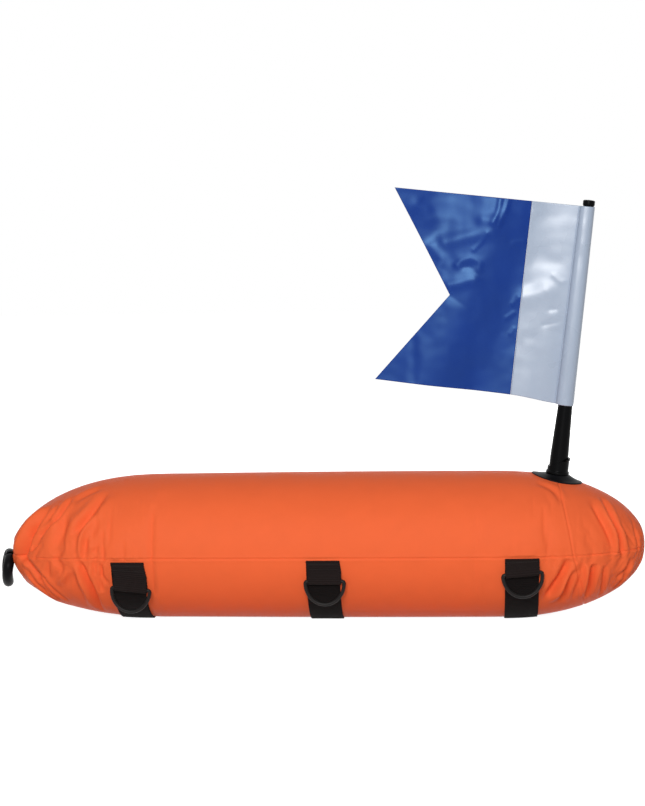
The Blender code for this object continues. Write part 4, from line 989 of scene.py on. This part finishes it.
def round_down(angle):
    """Direction down round the near side at an angle."""
    return Vector((0, -sin(angle), -cos(angle)))


def mirrored(vector, side):
    """A near-side vector, or its mirror image on the far side."""
    return Vector((vector.x, -side * vector.y, vector.z))


def make_strap(where, centre):
    """A webbing band that runs under the belly from seam to seam."""
    first = -STRAP_BELOW_SEAM[where] / FLOAT_RADIUS
    angle = np.linspace(first, -pi - first, STRAP_STEPS)
    section = band_section(WEBBING_WIDTH, WEBBING_THICKNESS)
    level = 0 * angle[:, None]
    points = skin(centre + section[:, 0] + level, angle[:, None] + 0 * section[:, 0],
                  STRAP_SEAT + WEBBING_THICKNESS / 2 + section[:, 1] + level)
    mesh = band_mesh(where + "_belly_strap", points, (first - angle) * FLOAT_RADIUS, section[:, 0])
    # The belly strap's finish is the black webbing darkened, as painted shade for its place under the belly
    piece(mesh, "float", "belly_webbing_painted_shade", where + "_strap")


def keeper_path(where):
    """The folded webbing's middle line as (distance below the bar, distance out)."""
    slope = -(FOLD_RISE + FOLD_RADIUS) * FOLD_LEAD_SHARE
    peak = BAR_STAND_OUT + FOLD_RADIUS
    down = np.linspace(KEEPER_TOP[where], slope, KEEPER_STEPS, endpoint=False)
    lead = np.linspace(0, 1, KEEPER_STEPS, endpoint=False)
    turn = np.linspace(0, pi, KEEPER_STEPS)
    back = np.linspace(0, KEEPER_TOP[where], KEEPER_BACK_STEPS)[1:]
    below = np.concatenate([down, slope * (1 - lead), FOLD_RADIUS * np.sin(turn), back])
    rise = KEEPER_FRONT + (peak - KEEPER_FRONT) * (1 - np.cos(pi * lead)) / 2
    out = np.concatenate([0 * down + KEEPER_FRONT, rise, BAR_STAND_OUT + FOLD_RADIUS * np.cos(turn),
                          0 * back + KEEPER_BACK])
    return np.stack([below, out], 1)


def keeper_spots(where, side, below, spread, across, out):
    """Points of a keeper: away from its sewn top it slips along the float and turns with its bar."""
    centre = STRAP_PLACES[where]
    straight = np.array(heading(centre, bar_angle(where)))
    down = np.array(round_down(bar_angle(where)))
    top = KEEPER_TOP[where]
    slipped = np.clip((below[:, None] - top) / (-top * SLIP_SHARE), 0, 1)[..., None]
    points = skin(centre + 0 * spread, bar_angle(where) - spread / FLOAT_RADIUS, out)
    points = points + ((straight + down * slipped * tan(near_only(RING_SKEW, where, side)))
                       * (across[:, None] + slipped * near_only(KEEPER_LEAN, where, side)))
    points[..., 1] *= -side
    return points


def make_keeper(where, side):
    """Webbing sewn at the seam and folded round a ring's bar."""
    path = keeper_path(where)
    step = np.gradient(path, axis=0)
    step /= np.linalg.norm(step, axis=1)[:, None]
    facing = np.stack([-step[:, 1], step[:, 0]], 1)
    section = band_section(WEBBING_WIDTH, WEBBING_THICKNESS)
    spread = path[:, :1] + facing[:, :1] * section[:, 1]
    out = path[:, 1:] + facing[:, 1:] * section[:, 1]
    points = keeper_spots(where, side, path[:, 0], spread, section[:, 0], out)
    length = running(np.linalg.norm(np.diff(path, axis=0), axis=1))
    node = "%s_%s_keeper" % (where, SIDE_NAMES[side])
    piece(band_mesh(node + "_fold", points, length, section[:, 0]), "float", "black_webbing", node)


def thread_tree():
    """Bows of thread of one size, one on each given place, turned as the place says."""
    tree = bpy.data.node_groups.new("thread_bows", "GeometryNodeTree")
    for name, kind in (("Places", "Geometry"), ("Length", "Float"), ("Height", "Float"),
                       ("Thickness", "Float"), ("Finish", "Material")):
        tree.interface.new_socket(name, in_out="INPUT", socket_type="NodeSocket" + kind)
    tree.interface.new_socket("Bows", in_out="OUTPUT", socket_type="NodeSocketGeometry")
    add = adder(tree)
    given = add("NodeGroupInput").outputs
    start, top, end = (
        add("ShaderNodeCombineXYZ", [(axis, reckoned(add, "MULTIPLY", given[size], share))]).outputs[0]
        for axis, size, share in (("X", "Length", -0.5), ("Z", "Height", 2.0), ("X", "Length", 0.5)))
    bow = add("GeometryNodeCurveQuadraticBezier", [("Resolution", THREAD_STEPS), ("Start", start),
                                                   ("Middle", top), ("End", end)])
    radius = reckoned(add, "MULTIPLY", given["Thickness"], 0.5)
    ring = add("GeometryNodeCurvePrimitiveCircle", [("Resolution", THREAD_SIDES), ("Radius", radius)])
    thread = add("GeometryNodeCurveToMesh", [("Curve", bow.outputs[0]), ("Fill Caps", True),
                                             ("Profile Curve", ring.outputs[0])])
    turn = add("GeometryNodeInputNamedAttribute", [("Name", "turn")], data_type="FLOAT_VECTOR")
    rotation = add("FunctionNodeEulerToRotation", [("Euler", turn.outputs["Attribute"])])
    bows = add("GeometryNodeInstanceOnPoints", [("Points", given["Places"]),
                                                ("Instance", thread.outputs[0]),
                                                ("Rotation", rotation.outputs[0])])
    real = add("GeometryNodeRealizeInstances", [("Geometry", bows.outputs[0])])
    done = add("GeometryNodeSetMaterial", [("Geometry", real.outputs[0]), ("Material", given["Finish"])])
    add("NodeGroupOutput", [("Bows", done.outputs[0])])
    return tree


THREADS = thread_tree()


def thread_bows(name, places, along, out, size, finish, *nodes):
    """A row of thread bows as one plain mesh, each lying along a direction on its place."""
    turns = []
    for forward, up in zip(along, out):
        up = Vector(up).normalized()
        forward = (Vector(forward) - up * up.dot(Vector(forward))).normalized()
        turns.append(Matrix((forward, up.cross(forward), up)).transposed().to_euler())
    mesh = bpy.data.meshes.new(name + "_places")
    mesh.from_pydata(np.asarray(places).tolist(), [], [])
    layer = mesh.attributes.new("turn", "FLOAT_VECTOR", "POINT")
    layer.data.foreach_set("vector", np.array(turns, np.float32).ravel())
    obj = new_object(name + "_places", mesh)
    rows = obj.modifiers.new("bows", "NODES")
    rows.node_group = THREADS
    values = dict(zip(("Length", "Height", "Thickness", "Finish"), (*size, FINISHES[finish])))
    for item in THREADS.interface.items_tree:
        if item.in_out == "INPUT" and item.name in values:
            rows[item.identifier] = values[item.name]
    depsgraph = bpy.context.evaluated_depsgraph_get()
    plain = bpy.data.meshes.new_from_object(obj.evaluated_get(depsgraph))
    plain.name = name
    bpy.data.objects.remove(obj)
    piece(facing_out(plain), "float", finish, *nodes)


def make_stitches():
    """Rows of stitches that hold the keepers' tops to the cover."""
    across = np.linspace(-0.5, 0.5, STITCHES) * (WEBBING_WIDTH - 2 * STITCH_INSET)
    places, along, out = [], [], []
    face = np.full((1, STITCHES), KEEPER_FRONT + WEBBING_THICKNESS / 2)
    for where, side, row in product(STRAP_PLACES, (NEAR, FAR), STITCH_ROWS):
        below = np.array([KEEPER_TOP[where] + row])
        spots = keeper_spots(where, side, below, np.repeat(below[:, None], STITCHES, 1), across, face)[0]
        angle = bar_angle(where) - below[0] / FLOAT_RADIUS
        places.append(spots)
        along += [spots[-1] - spots[0]] * STITCHES
        out += [outward_at(STRAP_PLACES[where], angle) * (1, -side, 1)] * STITCHES
    thread_bows("keeper_stitches", np.concatenate(places), along, out, STITCH_SIZE, "stitch_thread")


def ring_line():
    """A D-ring's middle line in its own plane: its bar on the X axis and its bow hanging down."""
    half = (RING_WIDTH - RING_WIRE) / 2
    corner = np.linspace(0, pi / 2, RING_CORNER_STEPS, endpoint=False)
    bow = np.linspace(0, pi, RING_BOW_STEPS)
    bar = np.linspace(-half + RING_CORNER, half - RING_CORNER, RING_BAR_STEPS)[1:-1]
    x = np.concatenate([half - RING_CORNER * (1 - np.sin(corner)), half * np.cos(bow),
                        -half + RING_CORNER * (1 - np.sin(corner[::-1])), bar])
    z = np.concatenate([-RING_CORNER * (1 - np.cos(corner)),
                        -RING_CORNER - (RING_DROP - RING_CORNER) * np.sin(bow),
                        -RING_CORNER * (1 - np.cos(corner[::-1])), 0 * bar])
    return np.stack([x, 0 * x, z], 1)


def make_ring(where, side):
    """A D-ring that hangs from its bar."""
    centre, angle = STRAP_PLACES[where], bar_angle(where)
    along = heading(centre, angle) + round_down(angle) * tan(near_only(RING_SKEW, where, side))
    along.normalize()
    hang = Vector((0, 0, -1))
    hang = (hang - along * hang.dot(along)).normalized()
    origin = spot(centre, angle, BAR_STAND_OUT)
    lean = near_only(KEEPER_LEAN, where, side)
    if lean:
        origin += along * (lean + RING_SLIP)
    place = frame_matrix(mirrored(origin, side), mirrored(along, side), -mirrored(hang, side))
    node, body = ("%s_%s_%s" % (where, SIDE_NAMES[side], kind) for kind in ("ring", "d_ring"))
    wire = tube_mesh(node + "_wire", ring_line(), RING_WIRE / 2, closed=True)
    piece(wire, body, "ring_plastic", node, place=place)


# Tow loop

def tow_eye():
    """Centre of the nose eye, on the tow loop's hinge."""
    height = float(centre_at(-HALF_LENGTH)) - EYE_BELOW_NOSE
    return Vector((FLOAT_MIDDLE - HALF_LENGTH - EYE_STAND_OUT, 0, height))


def tow_frame():
    """Place of the nose eye and the loop: sewn on a little turned, with Y along the hinge."""
    return Matrix.Translation(tow_eye()) @ Matrix.Rotation(LOOP_TURN, 4, "Z")


def loop_line(share):
    """The loop's middle line from the eye, for shares from 0 round to 1."""
    turn = 2 * pi * share
    drop = LOOP_DROP * (1 - np.cos(turn)) / 2
    across = LOOP_HALF_WIDTH * (np.sin(turn) + LOOP_SHOULDER_SHARE * np.sin(2 * turn) / 2)
    sway = -LOOP_SWAY * np.sin(pi * LOOP_SWAY_SHARE * drop / LOOP_DROP)
    return np.stack([sway, across, -drop], -1)


def make_tow_loop():
    """The nose eye, the loop's core and its rubber grip."""
    place = tow_frame()
    line = loop_line(np.arange(CORE_STEPS) / CORE_STEPS)
    core = tube_mesh("tow_loop_core", line, CORE_RADIUS, closed=True)
    piece(core, "tow_loop", "black_webbing", "tow_core", place=place)
    end = GRIP_START_SHARE / 2
    line = loop_line(np.linspace(end, 1 - end, GRIP_STEPS))
    length = running(np.linalg.norm(np.diff(line, axis=0), axis=1))
    inward = 1 - np.clip(np.minimum(length, length[-1] - length) / GRIP_END, 0, 1)
    radii = GRIP_RADIUS - GRIP_END_SHRINK * GRIP_RADIUS * (1 - np.sqrt(1 - inward ** 2))
    grip = tube_mesh("tow_loop_grip", line, radii, GRIP_SIDES)
    piece(grip, "tow_loop", "black_rubber", "tow_grip", place=place)

    turn = np.arange(EYE_STEPS) * 2 * pi / EYE_STEPS
    towards = np.cos(turn)
    tab = np.minimum((EYE_STAND_OUT + EYE_SEAT) / np.maximum(towards, 1e-6),
                     TAB_HEIGHT / 2 / np.maximum(np.abs(np.sin(turn)), 1e-6))
    outer = np.where(towards > 0, np.maximum(EYE_RADIUS, tab), EYE_RADIUS)
    inner = np.full(EYE_STEPS, CORE_RADIUS + EYE_PLAY)
    half, bevel = EYE_WIDTH / 2, EYE_EDGE * EYE_EDGE_BEVEL
    loops = [(inner, half - EYE_EDGE), (inner + EYE_EDGE, half), (outer - EYE_EDGE, half),
             (outer - bevel, half - bevel), (outer, half - EYE_EDGE)]
    loops = [(r, -y) for r, y in loops] + loops[::-1]
    points = np.array([np.stack([r * towards, y + 0 * r, r * np.sin(turn)], 1) for r, y in loops])
    faces = grid_faces(len(loops), len(turn), wrap_columns=True, wrap_rows=True).tolist()
    eye = facing_out(mesh_of("nose_eye", points, faces))
    piece(eye, "float", "black_rubber", "nose_anchor", place=place)


# Mast and flag

def mast_frame():
    """The mast's own frame: its origin on the cover, its Z up the mast and its X towards the stern."""
    return Matrix.Translation(spot(MAST_PLACE, pi / 2)) @ Matrix.Rotation(MAST_TILT, 4, "Y")


def mast_radius(height):
    """Outer radius of the mast at heights up its axis."""
    return np.interp(height, [SOCKET_HEIGHT, FLAG_BOTTOM, MAST_TOP],
                     [MAST_BASE_RADIUS, MAST_FLAG_RADIUS, MAST_TOP_RADIUS])


def make_foot():
    """The foot's flange: thin at its rim, and swept up to the socket's seat."""
    root = spot(MAST_PLACE, pi / 2)
    turn = np.arange(FOOT_STEPS) * 2 * pi / FOOT_STEPS
    seat = SOCKET_BASE_RADIUS + FOOT_EDGE
    seat_height = root.z + FOOT_SEAT / cos(MAST_TILT)
    rows = []

    def cover_height(x, y):
        radius = radius_at(x - FLOAT_MIDDLE) + GAP
        return centre_at(x - FLOAT_MIDDLE) + np.sqrt(radius ** 2 - y ** 2)

    def oval(inner, share):
        x = root.x + (inner + (FOOT_LENGTH / 2 - inner) * share) * np.cos(turn)
        return x, (inner + (FOOT_WIDTH / 2 - inner) * share) * np.sin(turn)

    for share in (0.0, 0.5, 1.0):
        x, y = oval(0, share)
        rows.append(np.stack([x, y, cover_height(x, y)], 1))
    for share in np.linspace(1, 0, FOOT_RINGS):
        x, y = oval(seat, share)
        top = seat_height - (x - root.x) * tan(MAST_TILT)
        rim = cover_height(x, y) + FOOT_EDGE * (FOOT_RIM_SHARE if share == 1 else 1)
        rows.append(np.stack([x, y, rim + (top - rim) * (1 - share) ** FOOT_HOLLOW], 1))
    rows.append(np.stack([root.x + 0 * turn, 0 * turn, seat_height + 0 * turn], 1))
    faces = grid_faces(len(rows), len(turn), wrap_columns=True).tolist()
    mesh = facing_out(mesh_of("mast_foot", np.array(rows), faces))
    piece(mesh, "float", "black_rubber", "mast_foot_flange")


def make_socket():
    """The socket, turned with a rolled lip and then cut off on a slant."""
    base = FOOT_SEAT + GAP
    bore = MAST_BASE_RADIUS + GAP
    wall = bore + SOCKET_WALL
    lip_foot = SOCKET_HEIGHT - SOCKET_LIP_HEIGHT
    outline = rounded([
        (0, base), (SOCKET_BASE_RADIUS, base), (SOCKET_BASE_RADIUS, base + SOCKET_BASE_HEIGHT - SOCKET_LIP),
        (wall, base + SOCKET_BASE_HEIGHT), (wall, lip_foot - SOCKET_LIP), (wall + SOCKET_LIP, lip_foot),
        (wall + SOCKET_LIP, SOCKET_HEIGHT), (bore, SOCKET_HEIGHT), (bore, base + SOCKET_FLOOR),
        (0, base + SOCKET_FLOOR)], SOCKET_ROUNDING)
    mesh = turned_mesh("mast_socket_cup", outline)
    drop = SOCKET_HEIGHT - SOCKET_LOW_SIDE
    aft, down = SOCKET_CUT
    bm = bmesh.new()
    bm.from_mesh(mesh)
    cut = bmesh.ops.bisect_plane(bm, geom=bm.verts[:] + bm.edges[:] + bm.faces[:], dist=1e-6,
                                 plane_co=(wall * aft, 0, SOCKET_HEIGHT - drop * down),
                                 plane_no=(-drop / (2 * wall), 0, 1), clear_outer=True)
    rim = [item for item in cut["geom_cut"] if isinstance(item, bmesh.types.BMEdge)]
    bmesh.ops.triangle_fill(bm, use_beauty=True, edges=rim)
    bm.to_mesh(mesh)
    bm.free()
    mesh = facing_out(mesh, SOCKET_SHARP)
    piece(mesh, "float", "mast_plastic", "mast_socket", place=mast_frame())


def make_mast():
    """Tapered tube and its rounded cap."""
    place = mast_frame()
    foot = FOOT_SEAT + 2 * GAP + SOCKET_FLOOR
    heights = np.concatenate([[foot], np.linspace(SOCKET_HEIGHT, FLAG_BOTTOM, MAST_LOW_STEPS),
                              np.linspace(FLAG_BOTTOM, MAST_TOP, MAST_HIGH_STEPS)[1:]])
    radii = mast_radius(heights)
    outside = np.stack([radii, heights], 1)
    inside = np.stack([radii - MAST_WALL, heights], 1)[::-1]
    tube = turned_mesh("mast_pole", np.concatenate([outside, inside]))
    piece(tube, "mast", "mast_plastic", "mast_tube", place=place)
    spigot = MAST_TOP_RADIUS - MAST_WALL - GAP
    under = MAST_TOP + GAP
    top = under + CAP_HEIGHT
    cap = rounded([(0, under - CAP_SPIGOT), (spigot, under - CAP_SPIGOT), (spigot, under),
                   (CAP_RADIUS, under), (CAP_RADIUS, top - CAP_DOME),
                   (CAP_RADIUS - CAP_DOME, top - CAP_DOME / 3), (0, top)], CAP_ROUNDING)
    piece(turned_mesh("mast_top_cap", cap), "mast", "mast_plastic", "mast_cap", place=place)


def sleeve_weld(height):
    """Distance of the weld line from the mast's axis."""
    share = (height - FLAG_BOTTOM) / FLAG_HOIST
    return mast_radius(height) + SLEEVE_WELD_BOTTOM + (SLEEVE_WELD_TOP - SLEEVE_WELD_BOTTOM) * share


def flag_bend(fly, height):
    """How far the flag bends out of its plane."""
    growth = np.clip((fly - SLEEVE_WELD_BOTTOM) / (FLAG_WHITE - SLEEVE_WELD_BOTTOM), 0, 1)
    rise = (height - FLAG_BOTTOM) / FLAG_HOIST
    return FLAG_WAVE * growth * np.sin(2 * pi * (fly / FLAG_WAVE_LENGTH + rise / 2))


def marks_relief(u, v, marks):
    """Height of soft valleys and ridges along named lines on a flat chart."""
    place = np.stack(np.broadcast_arrays(u, v), -1)
    out = np.zeros(place.shape[:-1])
    for depth, width, line in marks.values():
        line = smooth_line(line, MARK_STEPS)
        apart = np.full(out.shape, np.inf)
        for start, end in zip(line[:-1], line[1:]):
            step = end - start
            share = np.clip(((place - start) * step).sum(-1) / (step ** 2).sum(), 0, 1)[..., None]
            apart = np.minimum(apart, ((place - start - share * step) ** 2).sum(-1))
        out -= MARK_SCALE * depth * np.exp(-apart / width ** 2)
    return out


def flag_across(fly, height):
    """How far the flag stands out of the mast's plane: its bend, its creases and the weld's groove."""
    weld = sleeve_weld(height)
    free = np.clip((fly - weld - MARK_MARGIN) / MARK_EASE, 0, 1)
    relief = marks_relief(fly, height, FLAG_MARKS) * free
    return flag_bend(fly, height) + relief - WELD_DEPTH * bell(fly - weld - WELD_OFFSET, WELD_WIDTH)


def flag_lift(fly, height):
    """Height on the sheet once its lower part is drawn up between the sleeve and the joint."""
    out = np.clip(fly / FLAG_WHITE, 0, 1)
    drawn = FLAG_RISE * out * out * (3 - 2 * out) + FLAG_TIP_RISE * np.maximum(0, fly) / FLAG_FLY
    return height + drawn * (FLAG_BOTTOM + FLAG_HOIST - height) / FLAG_HOIST


def fly_edge(height):
    """Distance of the fly's edge from the mast's axis."""
    upper, lower = FLAG_BOTTOM + FLAG_HOIST - FLAG_CORNER, FLAG_CORNER - FLAG_BOTTOM
    arm = np.where(height > FLAG_CORNER, upper, lower)
    return FLAG_FLY - FLAG_NOTCH * (1 - np.abs(height - FLAG_CORNER) / arm)


def flag_sheet(name, fly, across, height, thickness):
    """A sheet of the flag with its thickness, from rows of (fly, across) at each height."""
    points = np.stack([-fly, -across, flag_lift(fly, height)], -1)
    quads = grid_faces(*points.shape[:2])
    mesh = mesh_of(name, points, quads.tolist(), np.stack([fly, height], -1).reshape(-1, 2)[quads])
    mesh.transform(mast_frame())
    obj = new_object(name, mesh)
    wall = obj.modifiers.new("wall", "SOLIDIFY")
    wall.thickness = thickness
    wall.offset = 0
    wall.use_even_offset = True
    return obj


def make_flag():
    """The white panel with its sleeve, and the blue swallow-tailed panel."""
    half, top = FLAG_ROWS // 2, FLAG_BOTTOM + FLAG_HOIST
    height = np.concatenate([np.linspace(FLAG_BOTTOM, FLAG_CORNER, half, endpoint=False),
                             np.linspace(FLAG_CORNER, top, FLAG_ROWS - half + 1)])[:, None]
    weld = sleeve_weld(height)
    round_radius = mast_radius(height) + SLEEVE_EASE + FLAG_SHEET / 2
    share = 1 - (1 - np.linspace(0, 1, WHITE_STEPS)) ** WHITE_CROWDING
    fly = FLAG_WHITE - (FLAG_WHITE - weld) * share
    turn = np.linspace(pi / 2, 1.5 * pi, SLEEVE_TURN_STEPS)
    back = FLAG_SHEET + GAP + WELD_DEPTH
    slack = np.linspace(0, pi / 2, SLEEVE_SLACK_STEPS + 2)[1:-1]
    out = weld * np.cos(slack) ** (2 / SLEEVE_SLACK)
    rise = round_radius * np.sin(slack) ** (2 / SLEEVE_SLACK)
    lap = weld + SLEEVE_LAP * np.array(LAP_SHARES)
    flies = np.concatenate([fly, out, round_radius * np.cos(turn), out[:, ::-1], lap], 1)
    acrosses = np.concatenate([flag_across(fly, height), rise, round_radius * np.sin(turn),
                               -np.maximum(rise[:, ::-1], back), flag_bend(lap, height) - back], 1)
    white = flag_sheet("flag_hoist_sheet", flies, acrosses, height + 0 * flies, FLAG_SHEET)
    dress(white, "flag", "flag_white", "flag_white_panel")

    share = np.linspace(0, 1, BLUE_STEPS)
    start = FLAG_WHITE + GAP
    fly = start + (fly_edge(height) - start) * share
    blue = flag_sheet("flag_fly_sheet", fly, flag_across(fly, height), height + 0 * fly, FLAG_SHEET)
    dress(blue, "flag", "flag_blue", "flag_blue_panel")


# Zip

def zip_cloth(name, middle, x_from, x_to):
    """A tape along the far seam with rounded edges, its middle a height above the seam."""
    section = band_section(ZIP_TAPE_WIDTH, ZIP_TAPE_THICKNESS, *ZIP_SECTION_STEPS)
    x = np.linspace(x_from, x_to, ZIP_ROWS)[:, None]
    above = middle + section[:, 0]
    out = GAP + ZIP_TAPE_THICKNESS / 2 + section[:, 1]
    points = skin(x + 0 * above, pi - above / FLOAT_RADIUS + 0 * x, out + 0 * x)
    return band_mesh(name, points, x[:, 0], section[:, 0])


def make_zip():
    """The zip's tapes and teeth on the far seam."""
    x_from, x_to = ZIP_MIDDLE - ZIP_LENGTH / 2, ZIP_MIDDLE + ZIP_LENGTH / 2
    edge = GAP / 2
    for name, sign in (("upper", 1), ("lower", -1)):
        tape = zip_cloth("zip_%s_cloth" % name, sign * (edge + ZIP_TAPE_WIDTH / 2), x_from, x_to)
        piece(tape, "float", "zip_nylon", "zip_%s_tape" % name)
        inset = ZIP_STOP_LENGTH + COIL_PITCH
        x = np.arange(x_from + inset, x_to - inset, COIL_PITCH) + (COIL_PITCH / 2 if sign > 0 else 0)
        angle = pi - sign * (edge + ZIP_COIL_WIDTH / 2) / FLOAT_RADIUS + 0 * x
        places = skin(x, angle, 2 * GAP + ZIP_TAPE_THICKNESS)
        upward = skin(x, angle - COIL_TURN) - skin(x, angle)
        thread_bows("zip_%s_teeth" % name, places, upward, outward_at(x, angle), COIL_SIZE, "zip_teeth",
                    "zip_%s_coil" % name)


def finish_nodes():
    """Finishes for the nodes whose shape stays."""
    kept = {
        "valve_body": "black_rubber", "valve_plug": "black_rubber", "mast_plug": "black_rubber",
        "zip_bow_stop": "zip_metal", "zip_stern_stop": "zip_metal", "zip_slider": "zip_metal",
        "zip_pull": "black_rubber",
    }
    for node, finish in kept.items():
        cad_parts[node].material_slots[0].material = FINISHES[finish]


# Camera, lamps and floor

def photo_camera():
    """The camera at the photograph's angle, aimed so that the float falls on its own pixels."""
    focal = CAMERA_DISTANCE / METRES_PER_PIXEL
    target = Vector((FLOAT_MIDDLE + FLOAT_ASIDE, 0, AXIS_HEIGHT))
    level = cos(CAMERA_ELEVATION)
    back = Vector((sin(CAMERA_YAW) * level, -cos(CAMERA_YAW) * level, sin(CAMERA_ELEVATION)))
    right = (-back).cross(Vector((0, 0, 1))).normalized()
    up = right.cross(-back)
    right, up = (right * cos(CAMERA_ROLL) + up * sin(CAMERA_ROLL),
                 up * cos(CAMERA_ROLL) - right * sin(CAMERA_ROLL))
    aside = (FLOAT_PIXEL[0] - PHOTO_SIZE[0] / 2) / focal
    below = (FLOAT_PIXEL[1] - PHOTO_SIZE[1] / 2) / focal
    ahead = (-back - right * aside + up * below).normalized()
    right = (right - ahead * right.dot(ahead)).normalized()
    up = right.cross(ahead)
    data = bpy.data.cameras.new("photo_camera")
    data.sensor_fit = "VERTICAL"
    data.sensor_height = SENSOR
    data.lens = focal / PHOTO_SIZE[1] * SENSOR
    camera = new_object("photo_camera", data)
    turn = Matrix((right, up, -ahead)).transposed().to_4x4()
    camera.matrix_world = Matrix.Translation(target + back * CAMERA_DISTANCE) @ turn
    bpy.context.scene.camera = camera


def make_lamp(name, place, aim, size, power, glints):
    """A soft box that points at a spot, with or without its own reflection on the float."""
    data = bpy.data.lights.new(name, "AREA")
    data.shape = "RECTANGLE"
    data.size, data.size_y = size
    data.energy = power
    obj = new_object(name, data)
    obj.visible_camera, obj.visible_glossy = False, glints
    ahead = (Vector(aim) - Vector(place)).normalized()
    obj.matrix_world = Matrix.Translation(place) @ ahead.to_track_quat("-Z", "Y").to_matrix().to_4x4()


def seen_rays(add):
    """1 for what the camera sees directly, in a reflection or through a clear piece."""
    path = add("ShaderNodeLightPath").outputs
    seen = reckoned(add, "MAXIMUM", path["Is Camera Ray"], path["Is Glossy Ray"])
    return reckoned(add, "MAXIMUM", seen, path["Is Transmission Ray"])


def make_world():
    """White behind the float, and a plain grey light all round it."""
    world = bpy.data.worlds.new("studio")
    bpy.context.scene.world = world
    world.use_nodes = True
    add = adder(world.node_tree)
    strength = add("ShaderNodeMapRange", [("Value", seen_rays(add)), ("To Min", WORLD_LEVEL),
                                          ("To Max", 1.0)]).outputs["Result"]
    fill(world.node_tree.nodes["Background"], [("Strength", strength), ("Color", WHITE)])


def make_floor():
    """A plain pale floor that runs out to white and keeps the float's shadow."""
    bm = bmesh.new()
    bmesh.ops.create_grid(bm, x_segments=FLOOR_CELLS, y_segments=FLOOR_CELLS, size=FLOOR_SIZE)
    mesh = bpy.data.meshes.new("floor")
    bm.to_mesh(mesh)
    bm.free()
    material, shader, add = material_nodes("pale_floor")
    glow = reckoned(add, "MULTIPLY", seen_rays(add), FLOOR_GLOW)
    fill(shader, [("Base Color", (FLOOR_GREY, FLOOR_GREY, FLOOR_GREY, 1)), ("Roughness", FLOOR_ROUGHNESS),
                  ("Specular IOR Level", 0.0), ("Emission Color", WHITE), ("Emission Strength", glow)])
    mesh.materials.append(material)
    new_object("floor", mesh)


photo_camera()
for values in LAMPS:
    make_lamp(*values)
bpy.context.scene.view_settings.view_transform = "Standard"
make_world()
make_floor()

make_cover()
for strap, station in STRAP_PLACES.items():
    make_strap(strap, station)
    for hand in (NEAR, FAR):
        make_keeper(strap, hand)
        make_ring(strap, hand)
make_stitches()
make_tow_loop()
make_foot()
make_socket()
make_mast()
make_flag()
make_zip()
finish_nodes()
